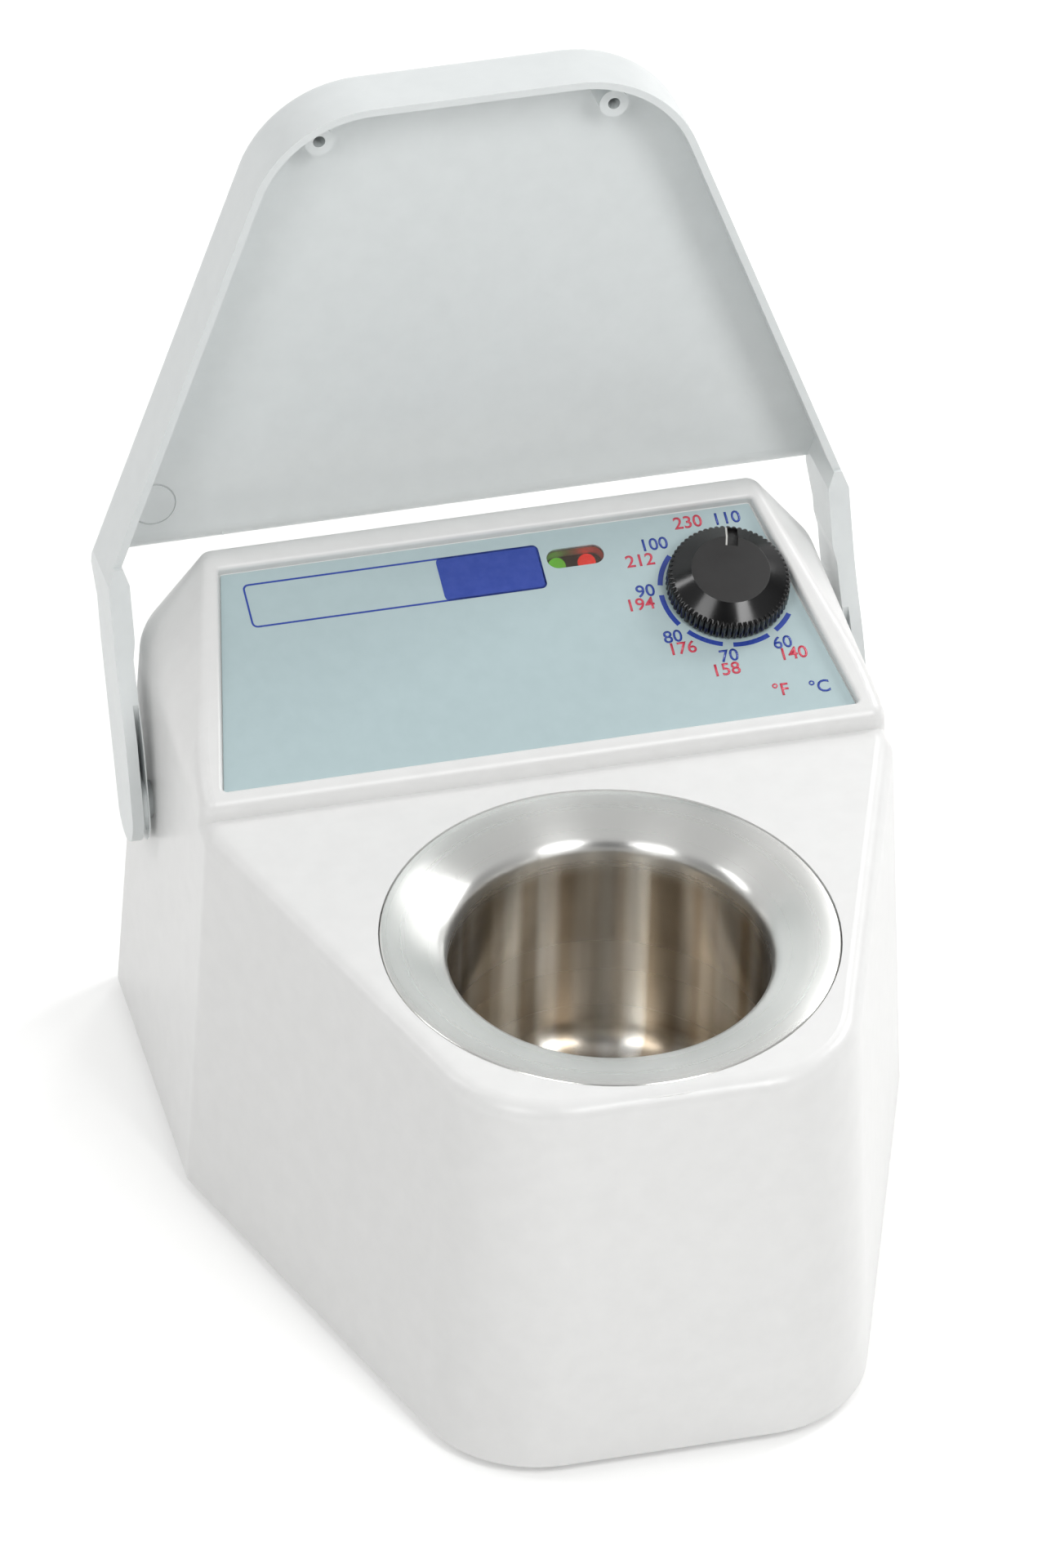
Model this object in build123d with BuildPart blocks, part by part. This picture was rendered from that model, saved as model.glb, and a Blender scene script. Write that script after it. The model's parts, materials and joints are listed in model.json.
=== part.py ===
"""Wax heater for a dental laboratory: a heated pot of dipping wax under a hinged lid.

Frame: +Z is up and Z = 0 is the bench under the feet. +Y points to the back, where the
console and the hinge are. The origin is under the middle of the standing heater, lid open.
Every length is in millimetres and every angle in degrees.
"""

import os
from math import atan2, cos, degrees, radians, sin, tan

from build123d import *

os.makedirs("parts", exist_ok=True)

# ---- case ----
FOOT_H = 2.0                 # the case's lower edge stands this far above the bench
HALF_W = 60.0                # half the width at the lower edge, from the middle corners back
FRONT_HALF_W = 31.3          # half the width where the flank and front planes would meet
FRONT_Y = -76.75
MID_Y = 3.6                  # the corners where the sides turn in to the flanks
BACK_Y = 59.8
DECK_Z = 71.35
WALL = 2.5
SIDE_DRAFT = 2.75
FLANK_DRAFT = 3.3
FRONT_DRAFT = 4.15
BACK_DRAFT = 1.0
FRONT_CORNER_R = 20.0
MID_CORNER_R = 4.0
DECK_EDGE_R = 3.0
REAR_EDGE_R = 4.6
FLANK_ANGLE = degrees(atan2(HALF_W - FRONT_HALF_W, MID_Y - FRONT_Y))

# ---- console ----
CONSOLE_Y = 9.3              # the console rises from the deck here
BAY_BACK_Y = 19.3            # the low bay reaches this far under the console
TILT = 19.04                 # slope of the control panel
PANEL_Y = 12.85              # lower edge of the panel foil
PANEL_Z = 73.88
PANEL_LENGTH = 40.73         # up the slope
PANEL_LOW_HALF_W = 52.2
PANEL_TOP_HALF_W = 44.0
BEAD_H = 1.5                 # the frame round the foil stands proud by this
BEAD_EDGE_R = 0.7
HIP_TILT = 37.0              # the bevelled sides of the console, from the vertical
HIP_X = 57.0                 # a point of the bevel
HIP_Z = 74.7
CREASE_R = 12.0
CONSOLE_EDGE_R = 2.4
NOSE_R = 2.4
FOIL_T = 0.3
FOIL_GAP = 0.35
FOIL_CORNER_R = 0.3

# ---- pot and what holds it ----
POT_Y = -31.87
POT_FLANGE_R = 36.4
POT_SEAT_R = 36.6
POT_SEAT_DEPTH = 2.6
POT_HOLE_R = 33.5
SEAT_BOSS_R = 39.0
SEAT_BOSS_DEPTH = 5.5
POT_RIM_R = 34.2             # inner edge of the flat rim
POT_RIM_EDGE_R = 0.2
POT_BORE_R = 25.7
POT_DEPTH = 43.5
POT_WALL = 2.0
POT_FLOOR = 3.0
POT_FUNNEL_TILT = 18.0
POT_LIP_R = 2.5
POT_FLOOR_R = 5.0
POT_TOP_Z = DECK_Z
LUG_COUNT = 3
LUG_RING_R = 30.5
LUG_START = 30.0
LUG_R = 2.6
LUG_BORE_R = 1.25

# ---- panel furniture, as (x, distance up the slope) on the foil ----
DIAL_X = 36.73
DIAL_S = 25.24
WINDOW_X = 13.7
WINDOW_S = 35.2
WINDOW_LENGTH = 9.5
WINDOW_W = 3.7
LENS_BORDER = 0.6            # the window's lens reaches this far under the foil
LENS_T = 0.25
GREEN_LED_X = 10.9
RED_LED_X = 15.9
LED_R = 1.5
LED_TOP_H = -0.9             # the lamps' tips, from the foil
LED_LENGTH = 4.5
LED_DOME_R = 1.35

# ---- knob, its heights measured from the foil ----
KNOB_R = 10.1
KNOB_DRAFT = 0.15            # the skirt is this much narrower at its top
KNOB_FLOAT = 0.4
KNOB_SKIRT_H = 3.5
KNOB_SHOULDER_R = 9.75
KNOB_TOP_R = 6.35
KNOB_TOP_EDGE_R = 0.25
KNOB_H = 5.6
KNOB_CAVITY_R = 8.0
KNOB_CAVITY_H = 3.0
FLUTE_COUNT = 64
FLUTE_R = 0.36
FLUTE_OFFSET = 0.05          # the flutes' centres lie this far outside the skirt
POINTER_ANGLE = 75.0
SLOT_INNER_R = 4.6
SLOT_OUTER_R = 9.3
SLOT_W = 2.0
SLOT_DEPTH = 0.9
LINE_W = 0.35                # white line along the slot's left side
SHAFT_R = 3.0
SHAFT_TOP_H = 4.6
SHAFT_FIT = 0.03
SHAFT_HOLE_R = 3.65
RUNNING_GAP = 0.06           # radial play of a shaft in its bore

# ---- lid, drawn shut and level, then swung open about the hinge ----
HINGE_Y = 42.2
HINGE_Z = 50.6
OPEN_ANGLE = 96.13
LID_HALF_W = 61.8
LID_CORNER_Y = 6.3           # the flanks meet the arms here
LID_REAR_Y = 8.0             # rear edge of the plate
LID_FRONT_Y = -75.3
LID_TOP_Z = 73.0
LID_RIM_Z = 60.0
LID_PLATE = 1.8
LID_SKIRT = 1.25
LID_CORNER_R = 21.0
LID_EDGE_R = 2.6
PLATE_CURL = 3.1             # the plate's rear edge curves up over this length
PLATE_CURL_R = 3.6
PLATE_EDGE_T = 0.15
ARM_T = 2.95
ARM_OUTER_LAYER = 1.9
ARM_FRONT_Y = 3.4            # the arm is deeper than the skirt from here back
WEB_T = 3.45                 # the arm is thicker beside the plate
WEB_END_Y = 15.5
WEB_RUN_OUT = 2.5
LAYER_EDGE_Y = 45.0          # the arm's inner layer ends here while the lid is open
PIN_R = 3.0
PIN_INNER_X = 52.6
PIN_HEAD_GAP = 0.5
BEARING_R = 6.4
BEARING_L = 3.6
HINGE_BOSS_X = 59.0
HINGE_BOSS_R = 5.0
POST_X = 24.2
POST_Y = -67.2
POST_R = 2.4
POST_BORE_R = 1.0
POST_BORE_DEPTH = 5.0
POST_TIP_Z = 66.0
MARK_X = -51.6               # round mark that an ejector pin left
MARK_Y = -0.6
MARK_R = 3.85
MARK_LINE = 0.3
MARK_DEPTH = 0.25
TICK_SIZE = (0.35, 1.3, 1.0)
TICK_X = -40.0
TICK_Y = LID_REAR_Y - 1.4
TICK_Z = LID_TOP_Z - 0.9

# ---- base plate and case bosses ----
PLATE_Z = 2.4
PLATE_T = 2.5
PLATE_TOP_Z = PLATE_Z + PLATE_T
PLATE_GAP = 0.25
FRONT_BOSS = (27.0, -62.0)
REAR_BOSS = (53.4, 53.0)
BASE_BOSS_R = 4.0
REAR_BOSS_TOP_Z = 24.0
BOSS_BORE_R = 1.5
BOSS_BORE_DEPTH = 12.0
SCREW_HOLE_R = 1.7
SCREW_HEAD_HOLE_R = 3.2
SCREW_HEAD_DEPTH = 1.3
VENT_COUNT = 5
VENT_PITCH = 7.0
VENT_L = 26.0
VENT_W = 2.4
FRONT_FOOT = (18.0, -64.0)
REAR_FOOT = (44.0, 44.0)
FOOT_R = 4.6
FOOT_EDGE_R = 0.5

# ---- control board, hung under the panel ----
BOARD_H = -13.6              # underside of the control board, from the foil
BOARD_T = 1.6
BOARD_W = 88.0
BOARD_L = 32.0
BOARD_S = 21.0
BOARD_POSTS = [(-40, 9), (40, 9), (-40, 33), (25, 32.5)]
SPACER_R = 2.8
SPACER_BORE_R = 1.3
RELAY_AT = (-32.0, 21.0)
RELAY_SIZE = (19.0, 15.5)
RELAY_H = 15.0
FUSE_AT = (0.0, 14.0)
FUSE_CLIP_SIZE = (23.0, 9.6)
FUSE_CLIP_H = 6.0
FUSE_CAP_SIZE = (20.0, 5.0)
FUSE_CAP_H = 2.0
TERMINAL_COUNT = 7
TERMINAL_PITCH = 5.08
TERMINAL_S = 28.5
TERMINAL_W = 8.0
TERMINAL_BLOCK_H = 10.0
TERMINAL_BORE_R = 1.7
TERMINAL_BORE_DEPTH = 3.0
TERMINAL_H = BOARD_H - TERMINAL_BLOCK_H

# ---- back wall ----
REAR_FITTINGS_Z = 32.0
CUTOUT_GAP = 0.2
INLET_X = -27.0
INLET_FLANGE = (49.0, 24.0)
INLET_FLANGE_R = 5.0
INLET_FLANGE_T = 2.5
INLET_BODY = (27.0, 20.0)
INLET_BODY_DEPTH = 20.0
INLET_MOUTH = (24.4, 16.6)
INLET_MOUTH_DEPTH = 16.5
INLET_MOUTH_CHAMFER = 4.5
INLET_SCREW_X = 20.0
PIN_PITCH = 7.0
PIN_SIZE = (2.0, 4.0)
PIN_RISE = 2.0               # the earth pin sits this far above the middle
PIN_BACK_DEPTH = 26.0
PIN_TIP_DEPTH = 2.0
SWITCH_X = 27.0
SWITCH_FLANGE = (15.0, 21.0)
SWITCH_FLANGE_R = 1.0
SWITCH_FLANGE_T = 1.8
SWITCH_BODY = (12.8, 19.2)
SWITCH_BODY_DEPTH = 16.0
SWITCH_MOUTH = (10.4, 16.8)
SWITCH_MOUTH_DEPTH = 9.2
TAB_PITCH = 7.0
TAB_SIZE = (4.8, 0.8)
TAB_LENGTH = 6.0
ROCKER_THROW = 20.0
ROCKER_DEPTH = 3.0
ROCKER_PIN_R = 1.0
ROCKER_HALF_W = 4.9
ROCKER_HALF_L = 7.6


def side_x(z):
    """Half the outer width of the case at height z."""
    return HALF_W - (z - FOOT_H) * tan(radians(SIDE_DRAFT))


def hip_x(z):
    """Half the outer width of the console's bevelled part at height z."""
    return HIP_X - (z - HIP_Z) * tan(radians(HIP_TILT))


def back_y(z):
    """Outer face of the back wall at height z."""
    return BACK_Y - (z - FOOT_H) * tan(radians(BACK_DRAFT))


def foil_z(y):
    """Height of the foil's surface above a point of the bench."""
    return PANEL_Z + (y - PANEL_Y) * tan(radians(TILT))


def foil_half_w(s):
    """Half the foil's width at distance s up the slope."""
    return PANEL_LOW_HALF_W + (PANEL_TOP_HALF_W - PANEL_LOW_HALF_W) * s / PANEL_LENGTH


def both_sides(spot):
    """A spot on the bench and its mirror image."""
    return [(-spot[0], spot[1]), spot]


def wall_plane(x, y, heading, draft, inset):
    """Plane of a leaning wall through (x, y) at the lower edge, moved inwards by inset."""
    lean = radians(draft)
    turn = radians(heading)
    outward = Vector(cos(turn) * cos(lean), sin(turn) * cos(lean), sin(lean))
    return Plane(origin=Vector(x, y, FOOT_H) - outward * inset, z_dir=outward)


def pot_bay_form(inset, top_z):
    """Solid of the low bay round the pot, with its walls moved inwards by inset."""
    walls = [wall_plane(0, FRONT_Y, -90, FRONT_DRAFT, inset)]
    for side in (1, -1):
        flank_heading = -FLANK_ANGLE if side > 0 else 180 + FLANK_ANGLE
        walls.append(wall_plane(side * HALF_W, MID_Y, 90 - 90 * side, SIDE_DRAFT, inset))
        walls.append(wall_plane(side * HALF_W, MID_Y, flank_heading, FLANK_DRAFT, inset))
    height = top_z - FOOT_H
    with BuildPart() as form:
        with BuildSketch(Plane.XY.offset(FOOT_H)):
            with Locations((0, BAY_BACK_Y)):
                Rectangle(3 * HALF_W, BAY_BACK_Y - 1.5 * FRONT_Y, align=(Align.CENTER, Align.MAX))
        extrude(amount=height)
        for wall in walls:
            split(bisect_by=wall, keep=Keep.BOTTOM)
        corners = form.edges().filter_by(lambda e: abs((e @ 1 - e @ 0).Z) > 0.9 * height)
        fillet(corners.filter_by(lambda e: e.center().Y < POT_Y), FRONT_CORNER_R - inset)
        corners = form.edges().filter_by(lambda e: abs((e @ 1 - e @ 0).Z) > 0.9 * height)
        fillet(corners.filter_by(lambda e: abs(e.center().Y - MID_Y) < MID_CORNER_R), MID_CORNER_R)
    return form.part


def console_form(inset, drop):
    """Solid of the console bay: walls moved inwards by inset, the slope lowered by drop."""
    crease_z = HIP_Z + (HIP_X - side_x(HIP_Z)) / (tan(radians(HIP_TILT)) - tan(radians(SIDE_DRAFT)))
    peak_z = 1.4 * HIP_Z
    sink = drop / cos(radians(TILT))
    low_z = foil_z(CONSOLE_Y + inset) - sink
    rise = tan(radians(TILT))
    lean = tan(radians(BACK_DRAFT))
    high_z = (foil_z(BACK_Y - inset + FOOT_H * lean) - sink) / (1 + rise * lean)
    high_y = back_y(high_z) - inset
    with BuildPart() as form:
        with BuildSketch(Plane.XZ.offset(-CONSOLE_Y - inset)):
            with BuildLine():
                right = [
                    (side_x(FOOT_H) - inset, FOOT_H),
                    (side_x(crease_z) - inset, crease_z),
                    (hip_x(peak_z) - inset, peak_z),
                ]
                Polyline(*right, *[(-x, z) for x, z in reversed(right)], close=True)
            make_face()
        extrude(amount=-(BACK_Y - CONSOLE_Y))
        with BuildSketch(Plane.YZ):
            with BuildLine():
                Polyline(
                    (CONSOLE_Y + inset, 0),
                    (CONSOLE_Y + inset, low_z),
                    (high_y, high_z),
                    (BACK_Y - inset, FOOT_H),
                    (BACK_Y - inset, 0),
                    close=True,
                )
            make_face()
        extrude(amount=2 * HALF_W, both=True, mode=Mode.INTERSECT)
    return form.part


# Planes of the sloping panel. Local X runs to the right, local Y up the slope.
SLOPE = Vector(0, -sin(radians(TILT)), cos(radians(TILT)))
PANEL = Plane(origin=(0, PANEL_Y, PANEL_Z), x_dir=(1, 0, 0), z_dir=SLOPE)
DIAL = Plane(origin=PANEL.from_local_coords(Vector(DIAL_X, DIAL_S, 0)), x_dir=(1, 0, 0), z_dir=SLOPE)
BOARD = PANEL.offset(BOARD_H)
BACK_NORMAL = Vector(0, cos(radians(BACK_DRAFT)), sin(radians(BACK_DRAFT)))
BACK = Plane(origin=(0, back_y(REAR_FITTINGS_Z), REAR_FITTINGS_Z), x_dir=(-1, 0, 0), z_dir=BACK_NORMAL)
HINGE = Axis((0, HINGE_Y, HINGE_Z), (1, 0, 0))
HINGE_PLANE = Plane(origin=(0, HINGE_Y, HINGE_Z), x_dir=(0, 1, 0), z_dir=(1, 0, 0))


def section_of(plane):
    """Plane that cuts lengthways through plane's axis: local Y runs along that axis."""
    return Plane(origin=plane.origin, x_dir=plane.x_dir, z_dir=plane.x_dir.cross(plane.z_dir))


def along(edge, direction):
    """How far an edge reaches in a direction."""
    return abs((edge @ 1 - edge @ 0).dot(Vector(direction)))


def save(part, name):
    """Labels a solid and writes its STEP file."""
    part.label = name
    export_step(part, "parts/" + name + ".step")


# ---- housing ----
BASE_BOSSES = both_sides(FRONT_BOSS) + both_sides(REAR_BOSS)
INLET_CENTRE = (-INLET_X, 0)
INLET_SCREWS = [(-INLET_X - INLET_SCREW_X, 0), (-INLET_X + INLET_SCREW_X, 0)]
SWITCH_CENTRE = (-SWITCH_X, 0)
TRAY_FLOOR = PANEL.offset(-FOIL_T)

with BuildPart() as console_shell:
    add(console_form(0, -BEAD_H))
    crease_edges = console_shell.edges().filter_by(
        lambda e: along(e, (0, 1, 0)) > 0.5 * PANEL_LENGTH and abs(e.center().X) > side_x(HIP_Z) - 1
        and e.center().Z > HINGE_Z
    )
    fillet(crease_edges, CREASE_R)
    rear_edges = console_shell.edges().filter_by(lambda e: e.center().Y > BACK_Y - REAR_EDGE_R)
    fillet(rear_edges.filter_by(lambda e: e.center().Z > FOOT_H + WALL), REAR_EDGE_R)
    hip_edges = console_shell.edges().filter_by(
        lambda e: abs(e.center().X) > PANEL_TOP_HALF_W and along(e, (0, 1, 0)) > PANEL_LENGTH / 2
        and e.center().Z > foil_z(PANEL_Y)
    )
    hip_edges = hip_edges.filter_by(lambda e: abs(PANEL.to_local_coords(e.center()).Z - BEAD_H) < 0.01)
    fillet(hip_edges, CONSOLE_EDGE_R)
    nose = console_shell.edges().filter_by(
        lambda e: e.center().Y < CONSOLE_Y + 2 and along(e, (1, 0, 0)) > HALF_W and e.center().Z > HINGE_Z
    )
    fillet(nose, NOSE_R)

with BuildPart() as housing:
    add(pot_bay_form(0, DECK_Z))
    deck_edges = housing.faces().sort_by(Axis.Z)[-1].edges()
    fillet(deck_edges.filter_by(lambda e: e.center().Y < CONSOLE_Y), DECK_EDGE_R)
    add(console_shell.part)
    add(pot_bay_form(WALL, DECK_Z - WALL), mode=Mode.SUBTRACT)
    add(console_form(WALL, WALL + FOIL_T), mode=Mode.SUBTRACT)
    with BuildSketch(Plane.XY.offset(DECK_Z - SEAT_BOSS_DEPTH)):
        with Locations((0, POT_Y)):
            Circle(SEAT_BOSS_R)
    extrude(amount=SEAT_BOSS_DEPTH - WALL / 5)
    with BuildSketch(Plane.XY.offset(PLATE_TOP_Z)):
        with Locations(*both_sides(FRONT_BOSS)):
            Circle(BASE_BOSS_R)
    extrude(amount=DECK_Z - WALL - PLATE_TOP_Z)
    with BuildSketch(Plane.XY.offset(PLATE_TOP_Z)):
        with Locations(*both_sides(REAR_BOSS)):
            Circle(BASE_BOSS_R)
    extrude(amount=REAR_BOSS_TOP_Z - PLATE_TOP_Z)
    with BuildSketch(Plane.XY.offset(PLATE_TOP_Z)):
        with Locations(*BASE_BOSSES):
            Circle(BOSS_BORE_R)
    extrude(amount=BOSS_BORE_DEPTH, mode=Mode.SUBTRACT)
    with BuildSketch(Plane.XY.offset(DECK_Z - SEAT_BOSS_DEPTH)):
        with Locations((0, POT_Y)):
            Circle(POT_HOLE_R)
    extrude(amount=2 * SEAT_BOSS_DEPTH, mode=Mode.SUBTRACT)
    with BuildSketch(Plane.XY.offset(DECK_Z - POT_SEAT_DEPTH)):
        with Locations((0, POT_Y)):
            Circle(POT_SEAT_R)
    extrude(amount=2 * POT_SEAT_DEPTH, mode=Mode.SUBTRACT)
    # the shallow tray that the foil lies in
    with BuildSketch(TRAY_FLOOR):
        with BuildLine():
            low = PANEL_LOW_HALF_W + FOIL_GAP
            high = PANEL_TOP_HALF_W + FOIL_GAP
            Polyline((-low, -FOIL_GAP), (low, -FOIL_GAP), (high, PANEL_LENGTH + FOIL_GAP),
                     (-high, PANEL_LENGTH + FOIL_GAP), close=True)
        make_face()
        fillet(vertices(), FOIL_CORNER_R + FOIL_GAP)
    extrude(amount=3 * BEAD_H, mode=Mode.SUBTRACT)
    tray_rim = housing.edges().filter_by(
        lambda e: abs(PANEL.to_local_coords(e.center()).Z - BEAD_H) < 0.01
        and -FOIL_GAP - 0.1 < PANEL.to_local_coords(e.center()).Y < PANEL_LENGTH + FOIL_GAP + 0.1
        and abs(e.center().X) < foil_half_w(PANEL.to_local_coords(e.center()).Y) + 2 * FOIL_GAP
    )
    fillet(tray_rim, BEAD_EDGE_R)
    # the dial's hole and the lamps' window, which has a rebate for its lens
    with BuildSketch(TRAY_FLOOR):
        with Locations((DIAL_X, DIAL_S)):
            Circle(SHAFT_HOLE_R)
        with Locations((WINDOW_X, WINDOW_S)):
            SlotOverall(WINDOW_LENGTH, WINDOW_W)
    extrude(amount=-2 * WALL, mode=Mode.SUBTRACT)
    with BuildSketch(TRAY_FLOOR):
        with Locations((WINDOW_X, WINDOW_S)):
            SlotOverall(WINDOW_LENGTH + 3 * LENS_BORDER, WINDOW_W + 3 * LENS_BORDER)
    extrude(amount=-LENS_T - RUNNING_GAP, mode=Mode.SUBTRACT)
    # bearings for the lid's pins
    for side in (1, -1):
        with BuildSketch(HINGE_PLANE.offset(side * (PIN_INNER_X - FOIL_GAP))):
            Circle(BEARING_R)
        extrude(amount=side * BEARING_L)
    with BuildSketch(HINGE_PLANE):
        Circle(PIN_R + RUNNING_GAP)
    extrude(amount=HALF_W + 1, both=True, mode=Mode.SUBTRACT)
    # back wall cut-outs for the mains inlet and the switch
    with BuildSketch(BACK.offset(WALL)):
        with Locations(INLET_CENTRE):
            Rectangle(INLET_BODY[0] + 2 * CUTOUT_GAP, INLET_BODY[1] + 2 * CUTOUT_GAP)
        with Locations(SWITCH_CENTRE):
            Rectangle(SWITCH_BODY[0] + 2 * CUTOUT_GAP, SWITCH_BODY[1] + 2 * CUTOUT_GAP)
        with Locations(*INLET_SCREWS):
            Circle(BOSS_BORE_R)
    extrude(amount=-3 * WALL, mode=Mode.SUBTRACT)
save(housing.part, "housing")

# ---- lid ----
LID_SLOPE = (LID_HALF_W - FRONT_HALF_W) / (LID_CORNER_Y - LID_FRONT_Y)
ARM_X = LID_HALF_W - ARM_T
WEB_X = LID_HALF_W - WEB_T
ARM_LOW_Z = HINGE_Z - 2 * HINGE_BOSS_R
PLATE_UNDER_Z = LID_TOP_Z - LID_PLATE
POSTS = both_sides((POST_X, POST_Y))


def skirt_outline(gap, rear_y):
    """Corners of the lid's plan, moved inwards by gap and cut off at rear_y."""
    side_gap = gap / cos(atan2(LID_SLOPE, 1))
    rear_x = LID_HALF_W - LID_SLOPE * (LID_CORNER_Y - rear_y) - side_gap
    front_x = FRONT_HALF_W + LID_SLOPE * gap - side_gap
    return [(-rear_x, rear_y), (-front_x, LID_FRONT_Y + gap), (front_x, LID_FRONT_Y + gap), (rear_x, rear_y)]


with BuildPart() as shut_lid:
    # side view: tray, then the arms that reach back to the hinge
    with BuildSketch(Plane.YZ.offset(-LID_HALF_W)):
        with BuildLine():
            arm_top = (HINGE_Y + 4.2, HINGE_Z + 5.0)
            arm_low = (HINGE_Y - 1.2, HINGE_Z - 5.4)
            arm_bend = (HINGE_Y - 10.2, HINGE_Z - 2.6)
            arm_step = (ARM_FRONT_Y, LID_RIM_Z - 0.8)
            Polyline((LID_FRONT_Y, LID_RIM_Z), (LID_FRONT_Y, LID_TOP_Z), (LID_REAR_Y + 1, LID_TOP_Z),
                     (13.4, 68.4), (20.2, 66.4), arm_top)
            ThreePointArc(arm_top, (HINGE_Y + 6.7, HINGE_Z - 0.4), arm_low)
            Line(arm_low, arm_bend)
            Spline(arm_bend, (26.2, 50.6), (21.9, 53.0), (16.6, 55.4), (11.4, 57.1), (7.5, 58.4), arm_step)
            Polyline(arm_step, (ARM_FRONT_Y, LID_RIM_Z), (LID_FRONT_Y, LID_RIM_Z))
        make_face()
    extrude(amount=2 * LID_HALF_W)
    with BuildSketch(Plane.XY.offset(ARM_LOW_Z)):
        with BuildLine():
            Polyline(*skirt_outline(0, LID_CORNER_Y), (LID_HALF_W, BACK_Y), (-LID_HALF_W, BACK_Y), close=True)
        make_face()
        fillet(vertices().filter_by(lambda v: v.Y < POT_Y), LID_CORNER_R)
    extrude(amount=LID_TOP_Z - ARM_LOW_Z + 1, mode=Mode.INTERSECT)
    outer_edges = shut_lid.edges().filter_by(
        lambda e: abs(e.center().Z - LID_TOP_Z) < 0.01 and e.center().Y < ARM_FRONT_Y
    )
    fillet(outer_edges, LID_EDGE_R)
    # hollow of the tray, and the free space between the arms
    with BuildSketch(Plane.XY.offset(ARM_LOW_Z)):
        with BuildLine():
            right = [(WEB_X, LID_CORNER_Y), (WEB_X, WEB_END_Y), (ARM_X, WEB_END_Y + WEB_RUN_OUT), (ARM_X, BACK_Y)]
            Polyline(*skirt_outline(LID_SKIRT, ARM_FRONT_Y), *right, *[(-x, y) for x, y in reversed(right)],
                     close=True)
        make_face()
        fillet(vertices().filter_by(lambda v: v.Y < POT_Y), LID_CORNER_R - LID_SKIRT)
    extrude(amount=PLATE_UNDER_Z - ARM_LOW_Z, mode=Mode.SUBTRACT)
    with BuildSketch(Plane.XY.offset(LID_TOP_Z - 2 * LID_PLATE)):
        with Locations((0, LID_REAR_Y)):
            Rectangle(2 * WEB_X, HALF_W, align=(Align.CENTER, Align.MIN))
    extrude(amount=3 * LID_PLATE, mode=Mode.SUBTRACT)
    # the plate's rear edge curves up from its underside
    with BuildSketch(Plane.YZ.offset(-WEB_X)):
        with BuildLine():
            curl_low = (LID_REAR_Y - PLATE_CURL, PLATE_UNDER_Z)
            curl_high = (LID_REAR_Y, LID_TOP_Z - PLATE_EDGE_T)
            RadiusArc(curl_low, curl_high, -PLATE_CURL_R)
            Polyline(curl_high, (LID_REAR_Y + 1, curl_high[1]), (LID_REAR_Y + 1, curl_low[1] - 1),
                     (curl_low[0], curl_low[1] - 1), curl_low)
        make_face()
    extrude(amount=2 * WEB_X, mode=Mode.SUBTRACT)
    # two hollow posts that rest on the deck when the lid is shut
    with BuildSketch(Plane.XY.offset(POST_TIP_Z)):
        with Locations(*POSTS):
            Circle(POST_R)
    extrude(amount=LID_TOP_Z - LID_PLATE / 3 - POST_TIP_Z)
    with BuildSketch(Plane.XY.offset(POST_TIP_Z)):
        with Locations(*POSTS):
            Circle(POST_BORE_R)
    extrude(amount=POST_BORE_DEPTH, mode=Mode.SUBTRACT)
    # a locating tick and the ring that an ejector pin left
    with Locations((TICK_X, TICK_Y, TICK_Z)):
        Box(*TICK_SIZE)
    with BuildSketch(Plane.XY.offset(PLATE_UNDER_Z + MARK_DEPTH)):
        with Locations((MARK_X, MARK_Y)):
            Circle(MARK_R)
            Circle(MARK_R - MARK_LINE, mode=Mode.SUBTRACT)
    extrude(amount=-2 * MARK_DEPTH, mode=Mode.SUBTRACT)

PIN_HEAD_X = LID_HALF_W - PIN_HEAD_GAP
LAYER_X = LID_HALF_W - ARM_OUTER_LAYER
with BuildPart() as lid:
    add(shut_lid.part.rotate(HINGE, -OPEN_ANGLE))
    for side in (1, -1):
        with BuildSketch(HINGE_PLANE.offset(side * HINGE_BOSS_X)):
            with Locations((LAYER_EDGE_Y - HINGE_Y, 0)):
                Rectangle(HALF_W / 2, HALF_W, align=(Align.MAX, Align.CENTER))
        extrude(amount=side * (LAYER_X - HINGE_BOSS_X), mode=Mode.SUBTRACT)
        with BuildSketch(HINGE_PLANE.offset(side * HINGE_BOSS_X)):
            Circle(HINGE_BOSS_R)
        extrude(amount=side * (PIN_HEAD_X - HINGE_BOSS_X))
        with BuildSketch(HINGE_PLANE.offset(side * PIN_INNER_X)):
            Circle(PIN_R)
        extrude(amount=side * (PIN_HEAD_X - PIN_INNER_X))
save(lid.part, "lid")

# ---- wax pot ----
POT_PLANE = Plane(origin=(0, POT_Y, POT_TOP_Z), x_dir=(1, 0, 0), z_dir=(0, 0, 1))
POT_AXIS = Axis((0, POT_Y, 0), (0, 0, 1))
POT_OUTER_R = POT_BORE_R + POT_WALL
FUNNEL_DROP = (POT_RIM_R - POT_BORE_R) * tan(radians(POT_FUNNEL_TILT))
POT_BASE_Z = POT_TOP_Z - POT_DEPTH - POT_FLOOR
SEAT_Z = DECK_Z - POT_SEAT_DEPTH
SEAT_H = SEAT_Z - POT_TOP_Z
RING_TOP_Z = DECK_Z - SEAT_BOSS_DEPTH
RING_T = 1.5
RING_R = 36.0
FLANGE_T = 2.6

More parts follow.
